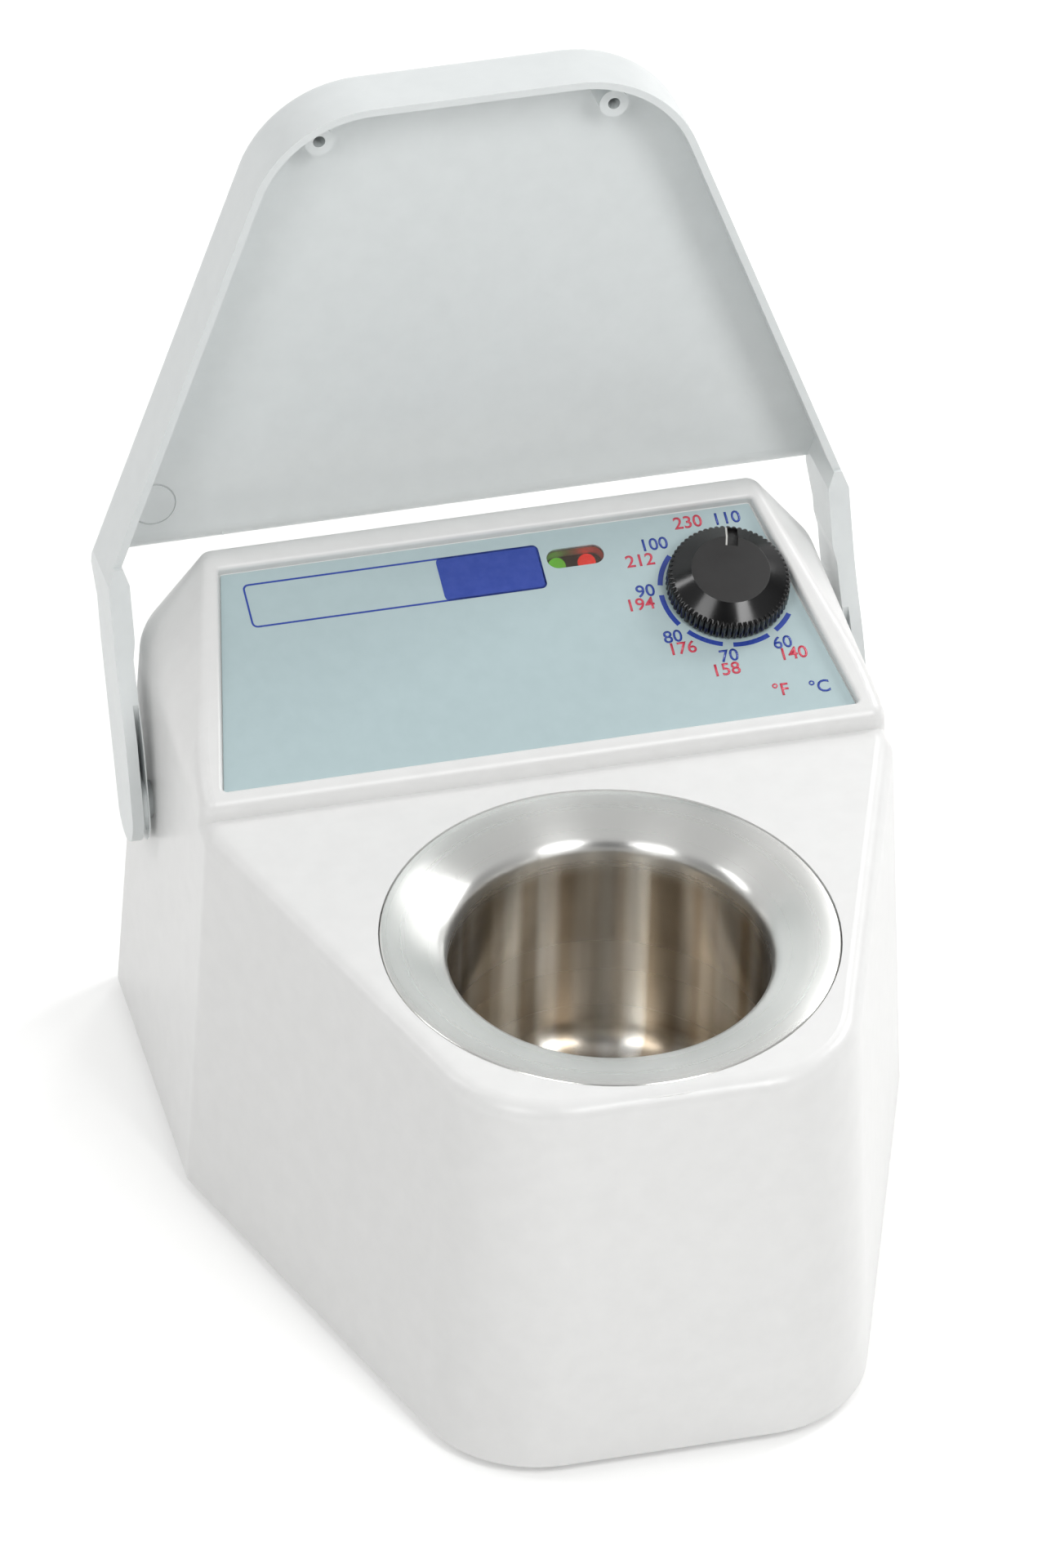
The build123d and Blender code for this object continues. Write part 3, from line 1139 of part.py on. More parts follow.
HEATER_WIRE_X = 7.0
HEATER_WIRE_Z = 50.0
HEATER_WIRE_RUN = 10.0
HEATER_TERMINAL_DROP = 6.0
with BuildPart() as heater_wires:
    band_y = POT_Y + ((BAND_R + BAND_T) ** 2 - (HEATER_WIRE_X - WIRE_R) ** 2) ** 0.5 + RUNNING_GAP
    for side in (1, -1):
        start = Vector(side * HEATER_WIRE_X, band_y, HEATER_WIRE_Z)
        bend = start + Vector(0, HEATER_WIRE_RUN, 0)
        add(wire([start, bend, terminal(3 * side, HEATER_TERMINAL_DROP), terminal(3 * side, -WIRE_REACH)]))
save(heater_wires.part, "heater_wires")
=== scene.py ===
"""Looks of a dental wax heater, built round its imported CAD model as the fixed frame.

Everything is in metres in the CAD model's own frame: +Z up, +Y to the back.
"""

import json
from math import atan2, cos, degrees, pi, radians, sin, tau

import bpy
from bpy.props import EnumProperty, FloatProperty, FloatVectorProperty, IntProperty, PointerProperty, StringProperty
from mathutils import Euler, Matrix, Vector


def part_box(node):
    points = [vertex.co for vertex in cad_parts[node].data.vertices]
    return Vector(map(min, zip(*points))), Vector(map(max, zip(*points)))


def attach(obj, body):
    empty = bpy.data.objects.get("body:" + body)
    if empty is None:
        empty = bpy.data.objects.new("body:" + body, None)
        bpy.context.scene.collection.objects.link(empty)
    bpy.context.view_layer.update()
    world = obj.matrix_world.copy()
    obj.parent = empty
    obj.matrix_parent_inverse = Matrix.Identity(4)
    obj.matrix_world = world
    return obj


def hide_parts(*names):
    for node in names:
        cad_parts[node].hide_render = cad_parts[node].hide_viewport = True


bl_info = {
    "name": "Wax Heater",
    "version": (1, 0, 0),
    "blender": (4, 5, 0),
    "location": "View3D > Sidebar > Wax Heater",
    "description": "Builds the visible surfaces of a dental wax heater round its CAD frame",
    "category": "Object",
}

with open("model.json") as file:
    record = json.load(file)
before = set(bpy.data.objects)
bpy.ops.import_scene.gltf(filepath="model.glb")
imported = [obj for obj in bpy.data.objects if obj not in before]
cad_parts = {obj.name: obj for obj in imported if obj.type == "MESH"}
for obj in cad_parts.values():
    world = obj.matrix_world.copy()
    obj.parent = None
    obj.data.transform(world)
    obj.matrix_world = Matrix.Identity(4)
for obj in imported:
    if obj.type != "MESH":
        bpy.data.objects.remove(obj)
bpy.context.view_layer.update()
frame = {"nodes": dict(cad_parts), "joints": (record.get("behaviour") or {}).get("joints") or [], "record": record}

MM = 0.001
TURNED_MAP = "turned"
DIAL_JOINT = next(j for j in frame["joints"] if j["name"] == "dial_turn")
# The foil's plane: the dial's joint lies on it and its axis is the foil's normal.
DIAL_CENTRE = Vector(DIAL_JOINT["pos_m"])
FOIL_NORMAL = Vector(DIAL_JOINT["axis"]).normalized()
FOIL_UP = FOIL_NORMAL.cross(Vector((1, 0, 0)))
DIAL_FRAME = Matrix((
    (1, FOIL_UP.x, FOIL_NORMAL.x, DIAL_CENTRE.x),
    (0, FOIL_UP.y, FOIL_NORMAL.y, DIAL_CENTRE.y),
    (0, FOIL_UP.z, FOIL_NORMAL.z, DIAL_CENTRE.z),
    (0, 0, 0, 1),
))


# ---------------------------------------------------------------- small tools

def linear(hex_colour):
    """Linear RGBA of an sRGB hex colour such as E8E8E6."""
    out = []
    for k in (0, 2, 4):
        c = int(hex_colour[k:k + 2], 16) / 255
        out.append(c / 12.92 if c <= 0.04045 else ((c + 0.055) / 1.055) ** 2.4)
    return (*out, 1.0)


def deselect():
    """Leaves object mode with nothing selected."""
    if bpy.context.object and bpy.context.object.mode != "OBJECT":
        bpy.ops.object.mode_set(mode="OBJECT")
    bpy.ops.object.select_all(action="DESELECT")


def finish_piece(name, material, body, smooth=None, replaces=()):
    """Names the active object, applies its place, gives it its finish and lets it ride."""
    piece = bpy.context.object
    piece.name = name
    piece.data.name = name
    bpy.ops.object.mode_set(mode="OBJECT")
    bpy.ops.object.transform_apply(location=True, rotation=True, scale=True)
    if smooth is not None:
        bpy.ops.object.shade_smooth_by_angle(angle=radians(smooth))
    piece.data.materials.clear()
    piece.data.materials.append(material)
    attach(piece, body)
    if replaces:
        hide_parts(*replaces)
    return piece


def join(pieces):
    """Joins objects into the first one, which becomes the active object."""
    deselect()
    for piece in pieces:
        piece.select_set(True)
    bpy.context.view_layer.objects.active = pieces[0]
    if len(pieces) > 1:
        bpy.ops.object.join()
    return pieces[0]


def lathe(profile, place, segments):
    """Turns a profile of (radius, height) points, in millimetres, about place's local Z.

    The first ring is a circle, and each later ring is extruded from the one before it.
    A radius of 0 closes the end in a pole.
    """
    deselect()
    first_r, first_h = profile[0]
    bpy.ops.mesh.primitive_circle_add(vertices=segments, radius=first_r * MM, fill_type="NOTHING",
                                      location=(0, 0, first_h * MM))
    bpy.ops.object.transform_apply(location=True, rotation=False, scale=False)
    bpy.ops.object.mode_set(mode="EDIT")
    bpy.ops.mesh.select_mode(type="VERT")
    bpy.ops.mesh.select_all(action="SELECT")
    last_r, last_h = profile[0]
    for r, h in profile[1:]:
        bpy.ops.mesh.extrude_region_move(TRANSFORM_OT_translate={"value": (0, 0, (h - last_h) * MM)})
        if r == 0:
            bpy.ops.mesh.merge(type="CENTER")
            break
        share = r / last_r
        bpy.ops.transform.resize(value=(share, share, 1), center_override=(0, 0, h * MM))
        last_r, last_h = r, h
    bpy.ops.mesh.select_all(action="SELECT")
    bpy.ops.mesh.normals_make_consistent(inside=False)
    bpy.ops.object.mode_set(mode="OBJECT")
    turned = bpy.context.object
    turned.matrix_world = place
    return turned


def map_round(piece, centre):
    """Gives a turned piece a map whose U runs round its axis and whose V runs along its profile."""
    mesh = piece.data
    turned = mesh.uv_layers.new(name=TURNED_MAP)
    for face in mesh.polygons:
        offsets = [mesh.vertices[v].co - centre for v in face.vertices]
        turns = [atan2(offset.y, offset.x) / tau for offset in offsets]
        if max(turns) - min(turns) > 0.5:
            turns = [turn + 1 if turn < 0 else turn for turn in turns]
        for loop, turn, offset in zip(face.loop_indices, turns, offsets):
            turned.data[loop].uv = (turn, (offset.z - offset.xy.length) / (100 * MM))


def rounded(points, corners, steps=5):
    """Profile points with the corners in {index: radius} replaced by arcs."""
    out = []
    for k, point in enumerate(points):
        if k not in corners:
            out.append(point)
            continue
        p = Vector(point)
        to_last = (Vector(points[k - 1]) - p).normalized()
        to_next = (Vector(points[k + 1]) - p).normalized()
        half = to_last.angle(to_next) / 2
        bisector = (to_last + to_next).normalized()
        centre = p + bisector * (corners[k] / sin(half))
        start = p + to_last * (corners[k] * cos(half) / sin(half)) - centre
        end = p + to_next * (corners[k] * cos(half) / sin(half)) - centre
        turn = start.angle_signed(end)
        for step in range(steps + 1):
            a = -turn * step / steps
            out.append(tuple(centre + Vector((start.x * cos(a) - start.y * sin(a),
                                              start.x * sin(a) + start.y * cos(a)))))
    return out


# ---------------------------------------------------------------- materials

def add_node(tree, kind, settings=None, links=None):
    """Adds a shader node: settings by socket or property name, links as {socket: output}."""
    node = tree.nodes.new(kind)
    for key, value in (settings or {}).items():
        if isinstance(key, str) and key in node.inputs:
            node.inputs[key].default_value = value
        elif isinstance(key, int):
            node.inputs[key].default_value = value
        else:
            setattr(node, key, value)
    for socket, output in (links or {}).items():
        tree.links.new(output, node.inputs[socket])
    return node


def new_material(name):
    """An empty node material with its output node."""
    material = bpy.data.materials.new(name)
    material.use_nodes = True
    tree = material.node_tree
    tree.nodes.clear()
    output = add_node(tree, "ShaderNodeOutputMaterial")
    return material, tree, output


def close(tree, output, shader):
    """Links the shader to the output."""
    tree.links.new(shader.outputs[0], output.inputs["Surface"])


def object_coords(tree, size_mm):
    """Object coordinates scaled so that one unit of a texture is size_mm."""
    coords = add_node(tree, "ShaderNodeTexCoord")
    k = 1 / (size_mm * MM)
    return add_node(tree, "ShaderNodeMapping", {"Scale": (k, k, k)}, {"Vector": coords.outputs["Object"]})


def mottle(tree, size_mm, low, high, detail=3.0):
    """Colour that wanders between two near shades over patches of size_mm."""
    place = object_coords(tree, size_mm)
    noise = add_node(tree, "ShaderNodeTexNoise", {"Scale": 1.0, "Detail": detail, "Roughness": 0.55},
                     {"Vector": place.outputs[0]})
    ramp = add_node(tree, "ShaderNodeValToRGB", {}, {"Fac": noise.outputs["Fac"]})
    ramp.color_ramp.interpolation = "EASE"
    ramp.color_ramp.elements[0].position = 0.15
    ramp.color_ramp.elements[1].position = 0.85
    ramp.color_ramp.elements[0].color = low
    ramp.color_ramp.elements[1].color = high
    return ramp


def spread(tree, size_mm, low, high):
    """A value that wanders between low and high over patches of size_mm."""
    place = object_coords(tree, size_mm)
    noise = add_node(tree, "ShaderNodeTexNoise", {"Scale": 1.0, "Detail": 2.0}, {"Vector": place.outputs[0]})
    return add_node(tree, "ShaderNodeMapRange",
                    {"interpolation_type": "SMOOTHSTEP", "From Min": 0.2, "From Max": 0.8, "To Min": low,
                     "To Max": high}, {"Value": noise.outputs["Fac"]})


def skin(tree, size_mm, height_mm, strength=1.0):
    """Bump of a fine moulded or sprayed skin with bumps of size_mm."""
    place = object_coords(tree, size_mm)
    noise = add_node(tree, "ShaderNodeTexNoise", {"Scale": 1.0, "Detail": 2.0}, {"Vector": place.outputs[0]})
    return add_node(tree, "ShaderNodeBump", {"Strength": strength, "Distance": height_mm * MM},
                    {"Height": noise.outputs["Fac"]})


def case_abs(finish):
    """Injection-moulded ABS: bright, a little warm, with a soft gloss over a faint orange peel."""
    material, tree, output = new_material("case_moulded_abs")
    colour = mottle(tree, 4, linear(finish.case_low), linear(finish.case_high))
    gloss = spread(tree, 3, 0.28, 0.33)
    bump = skin(tree, 1.1, 0.012, 0.35)
    shader = add_node(tree, "ShaderNodeBsdfPrincipled", {"IOR": 1.54},
                      {"Base Color": colour.outputs[0], "Roughness": gloss.outputs[0],
                       "Normal": bump.outputs[0]})
    close(tree, output, shader)
    return material


def lid_abs(finish):
    """Thin-walled moulded ABS with a softly uneven gloss, a little greyer than the case: partly a bluish tint of the
    plastic, partly painted shade of the lid's underside.
    """
    material, tree, output = new_material("lid_moulded_abs")
    # painted shade: the lid's colour is set greyer than the case's, which darkens its underside where less light falls
    colour = mottle(tree, 4, linear(finish.lid_low), linear(finish.lid_high))
    gloss = spread(tree, 3, 0.28, 0.33)
    bump = skin(tree, 1.4, 0.010, 0.3)
    shader = add_node(tree, "ShaderNodeBsdfPrincipled", {"IOR": 1.54},
                      {"Base Color": colour.outputs[0], "Roughness": gloss.outputs[0],
                       "Normal": bump.outputs[0]})
    close(tree, output, shader)
    return material


def turned_aluminium(finish, centre, rim_z):
    """Lathe-turned aluminium: fine rings round the axis draw each reflection out across them.

    Down the bore, darker, browner streaks round the axis are painted reflections of the room, drawn out along the bore.
    """
    material, tree, output = new_material("pot_turned_aluminium")
    coords = add_node(tree, "ShaderNodeTexCoord")
    about = add_node(tree, "ShaderNodeMapping", {"Location": (-centre.x, -centre.y, -rim_z)},
                     {"Vector": coords.outputs["Object"]})
    flat = add_node(tree, "ShaderNodeVectorMath", {"operation": "MULTIPLY", 1: (1, 1, 0)}, {0: about.outputs[0]})
    radius = add_node(tree, "ShaderNodeVectorMath", {"operation": "LENGTH"}, {0: flat.outputs[0]})
    split = add_node(tree, "ShaderNodeSeparateXYZ", {}, {0: about.outputs[0]})
    along = add_node(tree, "ShaderNodeCombineXYZ", {}, {"X": radius.outputs["Value"], "Y": split.outputs["Z"]})
    # the tool's marks, drawn coarser than the real feed of about 0.1 mm so that they show
    marks = add_node(tree, "ShaderNodeTexNoise", {"Scale": 1 / (0.45 * MM), "Detail": 3.0},
                     {"Vector": along.outputs[0]})
    bump = add_node(tree, "ShaderNodeBump", {"Strength": 0.3, "Distance": 0.004 * MM},
                    {"Height": marks.outputs["Fac"]})
    bands = add_node(tree, "ShaderNodeTexNoise", {"Scale": 1 / (4 * MM), "Detail": 2.0}, {"Vector": along.outputs[0]})
    gloss = add_node(tree, "ShaderNodeMapRange",
                     {"interpolation_type": "SMOOTHSTEP", "From Min": 0.2, "From Max": 0.8, "To Min": 0.24,
                      "To Max": 0.3}, {"Value": bands.outputs["Fac"]})
    # from 3.5 mm below the rim down, the bore's colour takes over from the pot's, so the bore is darker than the rim
    # and the funnel
    depth = add_node(tree, "ShaderNodeMapRange",
                     {"interpolation_type": "SMOOTHSTEP", "From Min": -3.5 * MM, "From Max": -9.0 * MM},
                     {"Value": split.outputs["Z"]})
    round_it = add_node(tree, "ShaderNodeVectorMath", {"operation": "NORMALIZE"}, {0: flat.outputs[0]})
    # painted reflections: darker, browner streaks round the axis down the bore, standing for the room reflected in the
    # metal
    runs = add_node(tree, "ShaderNodeTexNoise", {"Scale": 4.2, "Detail": 1.5}, {"Vector": round_it.outputs[0]})
    streak_mask = add_node(tree, "ShaderNodeMapRange",
                      {"interpolation_type": "SMOOTHSTEP", "From Min": 0.36, "From Max": 0.62},
                      {"Value": runs.outputs["Fac"]})
    bore = add_node(tree, "ShaderNodeMix",
                    {"data_type": "RGBA", "A": linear(finish.painted_streaks), "B": linear(finish.bore)},
                    {"Factor": streak_mask.outputs[0]})
    colour = add_node(tree, "ShaderNodeMix", {"data_type": "RGBA", "A": linear(finish.pot)},
                      {"Factor": depth.outputs[0], "B": bore.outputs["Result"]})
    tangent = add_node(tree, "ShaderNodeTangent", {"direction_type": "UV_MAP", "uv_map": TURNED_MAP})
    shader = add_node(tree, "ShaderNodeBsdfPrincipled", {"Metallic": 1.0, "Anisotropic": 0.9, "Anisotropic Rotation": 0.25},
                      {"Base Color": colour.outputs["Result"], "Roughness": gloss.outputs[0],
                       "Normal": bump.outputs[0], "Tangent": tangent.outputs[0]})
    close(tree, output, shader)
    return material


def polyester_foil(finish):
    """Back-printed polyester overlay: an even pale blue-green under a smooth, nearly glossy film."""
    material, tree, output = new_material("panel_polyester_foil")
    colour = mottle(tree, 3, linear(finish.foil_low), linear(finish.foil_high))
    gloss = spread(tree, 2, 0.15, 0.19)
    bump = skin(tree, 0.8, 0.003, 0.2)
    shader = add_node(tree, "ShaderNodeBsdfPrincipled", {"IOR": 1.6},
                      {"Base Color": colour.outputs[0], "Roughness": gloss.outputs[0],
                       "Normal": bump.outputs[0]})
    close(tree, output, shader)
    return material


def printed_ink(name, colour_hex):
    """Screen-printed ink seen through the film: flat colour with a barely uneven edge-to-edge density."""
    material, tree, output = new_material(name)
    base = linear(colour_hex)
    lighter = tuple(min(1.0, 1.12 * c + 0.01) for c in base[:3]) + (1.0,)
    colour = mottle(tree, 1.6, base, lighter)
    shader = add_node(tree, "ShaderNodeBsdfPrincipled", {"IOR": 1.6, "Roughness": 0.2},
                      {"Base Color": colour.outputs[0]})
    close(tree, output, shader)
    return material


def moulded_plastic(name, colour_hex, roughness, skin_mm=0.6, height_mm=0.01, lift=0.12):
    """Moulded engineering plastic in one colour, with a fine skin and slightly uneven gloss."""
    material, tree, output = new_material(name)
    base = linear(colour_hex)
    lighter = tuple(min(1.0, c * (1 + lift) + 0.004) for c in base[:3]) + (1.0,)
    colour = mottle(tree, 8, base, lighter)
    gloss = spread(tree, 5, roughness * 0.85, roughness * 1.2)
    bump = skin(tree, skin_mm, height_mm, 0.4)
    shader = add_node(tree, "ShaderNodeBsdfPrincipled", {"IOR": 1.5},
                      {"Base Color": colour.outputs[0], "Roughness": gloss.outputs[0],
                       "Normal": bump.outputs[0]})
    close(tree, output, shader)
    return material


def plated_metal(name, colour_hex, roughness):
    """Plated sheet or turned metal, with the plating's slightly cloudy gloss."""
    material, tree, output = new_material(name)
    base = linear(colour_hex)
    darker = tuple(c * 0.86 for c in base[:3]) + (1.0,)
    colour = mottle(tree, 5, darker, base)
    gloss = spread(tree, 2.5, roughness * 0.8, roughness * 1.25)
    shader = add_node(tree, "ShaderNodeBsdfPrincipled", {"Metallic": 1.0},
                      {"Base Color": colour.outputs[0], "Roughness": gloss.outputs[0]})
    close(tree, output, shader)
    return material


def lamp_epoxy(name, colour_hex, glow):
    """Tinted epoxy lens of an indicator lamp; a lit one glows through its whole body."""
    material, tree, output = new_material(name)
    colour = mottle(tree, 1.5, linear(colour_hex), tuple(min(1, 1.25 * c) for c in linear(colour_hex)))
    shader = add_node(tree, "ShaderNodeBsdfPrincipled",
                      {"IOR": 1.5, "Roughness": 0.12, "Emission Color": linear(colour_hex),
                       "Emission Strength": glow},
                      {"Base Color": colour.outputs[0]})
    close(tree, output, shader)
    return material


def smoked_film():
    """Smoke-tinted film over the lamps: a brown-grey veil that lets the lamps show through."""
    material, tree, output = new_material("smoked_film")
    colour = mottle(tree, 3, linear("4A3F39"), linear("62554D"))
    shader = add_node(tree, "ShaderNodeBsdfPrincipled", {"IOR": 1.58, "Roughness": 0.12, "Alpha": 0.5},
                      {"Base Color": colour.outputs[0]})
    close(tree, output, shader)
    return material


def fibre_blanket():
    """Ceramic fibre wool: white, matt and lumpy."""
    material, tree, output = new_material("ceramic_fibre")
    colour = mottle(tree, 3, linear("D8D4CA"), linear("F0EDE6"), 5.0)
    bump = skin(tree, 1.2, 0.3, 0.8)
    shader = add_node(tree, "ShaderNodeBsdfPrincipled", {"Roughness": 0.95},
                      {"Base Color": colour.outputs[0], "Normal": bump.outputs[0]})
    close(tree, output, shader)
    return material


# ---------------------------------------------------------------- what a user would change

class WaxHeaterFinish(bpy.types.PropertyGroup):
    case_low: StringProperty(name="Case, deep", description="Case plastic where it is deepest", default="E7E7E6")
    case_high: StringProperty(name="Case, light", description="Case plastic where it is lightest", default="EBEBEA")
    # painted shade: the lid's colours are greyer than the case's, partly for its shaded underside
    lid_low: StringProperty(name="Lid, deep", description="Lid plastic where it is deepest", default="DCE0E0")
    lid_high: StringProperty(name="Lid, light", description="Lid plastic where it is lightest", default="E0E4E4")
    foil_low: StringProperty(name="Foil, deep", description="Panel foil where it is deepest", default="B4C7CA")
    foil_high: StringProperty(name="Foil, light", description="Panel foil where it is lightest", default="B8CBCE")
    pot: StringProperty(name="Pot", description="Bare aluminium of the pot", default="F4F4F1")
    # the bore's colour is darker than the pot's
    bore: StringProperty(name="Bore", description="Aluminium of the bore, darker than the rim", default="DFDDD8")
    # painted reflections: the colour of the darker streaks down the bore
    painted_streaks: StringProperty(name="Painted streaks", description="Painted reflection streaks in the bore", default="A59886")
    blue: StringProperty(name="Blue ink", description="Celsius numbers and the ring", default="2B45A0")
    red: StringProperty(name="Red ink", description="Fahrenheit numbers", default="CF3F55")


class WaxHeaterPot(bpy.types.PropertyGroup):
    flange_r: FloatProperty(name="Flange", description="Outer radius of the rim", default=36.4, unit="LENGTH")
    rim_r: FloatProperty(name="Rim", description="Inner radius of the flat rim", default=34.2, unit="LENGTH")
    bore_r: FloatProperty(name="Bore", description="Radius of the straight bore", default=25.7, unit="LENGTH")
    depth: FloatProperty(name="Depth", description="Depth from the rim", default=43.5, unit="LENGTH")
    funnel: FloatProperty(name="Funnel", description="Slope of the funnel", default=radians(18), subtype="ANGLE")
    lip_r: FloatProperty(name="Lip", description="Rounding between funnel and bore", default=2.5, unit="LENGTH")
    segments: IntProperty(name="Segments", description="Faces round the pot", default=256, min=32)


class WaxHeaterKnob(bpy.types.PropertyGroup):
    skirt_r: FloatProperty(name="Skirt", description="Radius over the flutes", default=10.1, unit="LENGTH")
    skirt_h: FloatProperty(name="Skirt height", description="Height of the fluted skirt", default=3.5, unit="LENGTH")
    shoulder_r: FloatProperty(name="Shoulder", description="Radius where the cone starts", default=9.75,
                              unit="LENGTH")
    top_r: FloatProperty(name="Top", description="Radius of the flat top", default=6.35, unit="LENGTH")
    height: FloatProperty(name="Height", description="Height above the foil", default=5.6, unit="LENGTH")
    flutes: IntProperty(name="Flutes", description="Flutes round the skirt", default=64, min=8)
    slot_start: FloatProperty(name="Slot start", description="Inner end of the pointer slot", default=4.6,
                              unit="LENGTH")
    slot_end: FloatProperty(name="Slot end", description="Outer end of the pointer slot", default=9.3, unit="LENGTH")
    slot_w: FloatProperty(name="Slot width", description="Width of the pointer slot", default=2.0, unit="LENGTH")
    slot_depth: FloatProperty(name="Slot depth", description="Depth of the pointer slot", default=0.9, unit="LENGTH")
    line_w: FloatProperty(name="Line", description="Width of the white pointer line", default=0.3, unit="LENGTH")
    pointer: FloatProperty(name="Pointer", description="Where the pointer stands at rest", default=radians(75),
                           subtype="ANGLE")


class WaxHeaterPanel(bpy.types.PropertyGroup):
    ring_r: FloatProperty(name="Ring", description="Middle radius of the printed ring", default=10.88,
                          unit="LENGTH")
    ring_w: FloatProperty(name="Line", description="Width of the printed ring", default=0.85, unit="LENGTH")
    digit: FloatProperty(name="Digits", description="Height of the digits", default=2.35, unit="LENGTH")
    ink_spread: FloatProperty(name="Ink spread", description="How far the ink runs over each digit's outline",
                              default=0.04, unit="LENGTH")
    lamp_r: FloatProperty(name="Lamps", description="Radius of the indicator lamps", default=1.5, unit="LENGTH")


class WaxHeaterView(bpy.types.PropertyGroup):
    place: FloatVectorProperty(name="Camera", description="Place of the camera", subtype="XYZ", unit="LENGTH",
                               default=(-0.3954, -1.4534, 1.2981))
    pitch: FloatProperty(name="Pitch", description="Tilt below the horizon", default=radians(39.02), subtype="ANGLE")
    yaw: FloatProperty(name="Yaw", description="Turn to the right of +Y", default=radians(14.95), subtype="ANGLE")
    roll: FloatProperty(name="Roll", description="Turn about the line of sight", default=radians(1.51),
                        subtype="ANGLE")
    focal: FloatProperty(name="Focal length", description="Focal length, as a share of the picture's height",
                         default=7.768)
    key: FloatProperty(name="Key", description="Power of the light behind on the right", default=4.1, subtype="POWER")
    rear: FloatProperty(name="Rear", description="Power of the light behind the lid's right edge", default=1.3,
                        subtype="POWER")
    right: FloatProperty(name="Right", description="Power of the light in front on the right", default=4.4,
                         subtype="POWER")
    left: FloatProperty(name="Left", description="Power of the light in front on the left", default=2.8,
                        subtype="POWER")
    side: FloatProperty(name="Side", description="Power of the light on the left", default=1.3, subtype="POWER")
    wall_back: FloatProperty(name="Back wall", description="Brightness of the wall behind", default=0.95)
    wall_front: FloatProperty(name="Front wall", description="Brightness of the room in front", default=0.58)
    wall_side: FloatProperty(name="Side walls", description="Brightness of the room at the sides", default=0.12)
    ceiling: FloatProperty(name="Ceiling", description="Brightness overhead", default=0.52)


SETTINGS = {"finish": WaxHeaterFinish, "pot": WaxHeaterPot, "knob": WaxHeaterKnob, "panel": WaxHeaterPanel,
            "view": WaxHeaterView}


def settings(group):
    """The scene's settings of one group."""
    return getattr(bpy.context.scene, "wax_heater_" + group)


# ---------------------------------------------------------------- operators

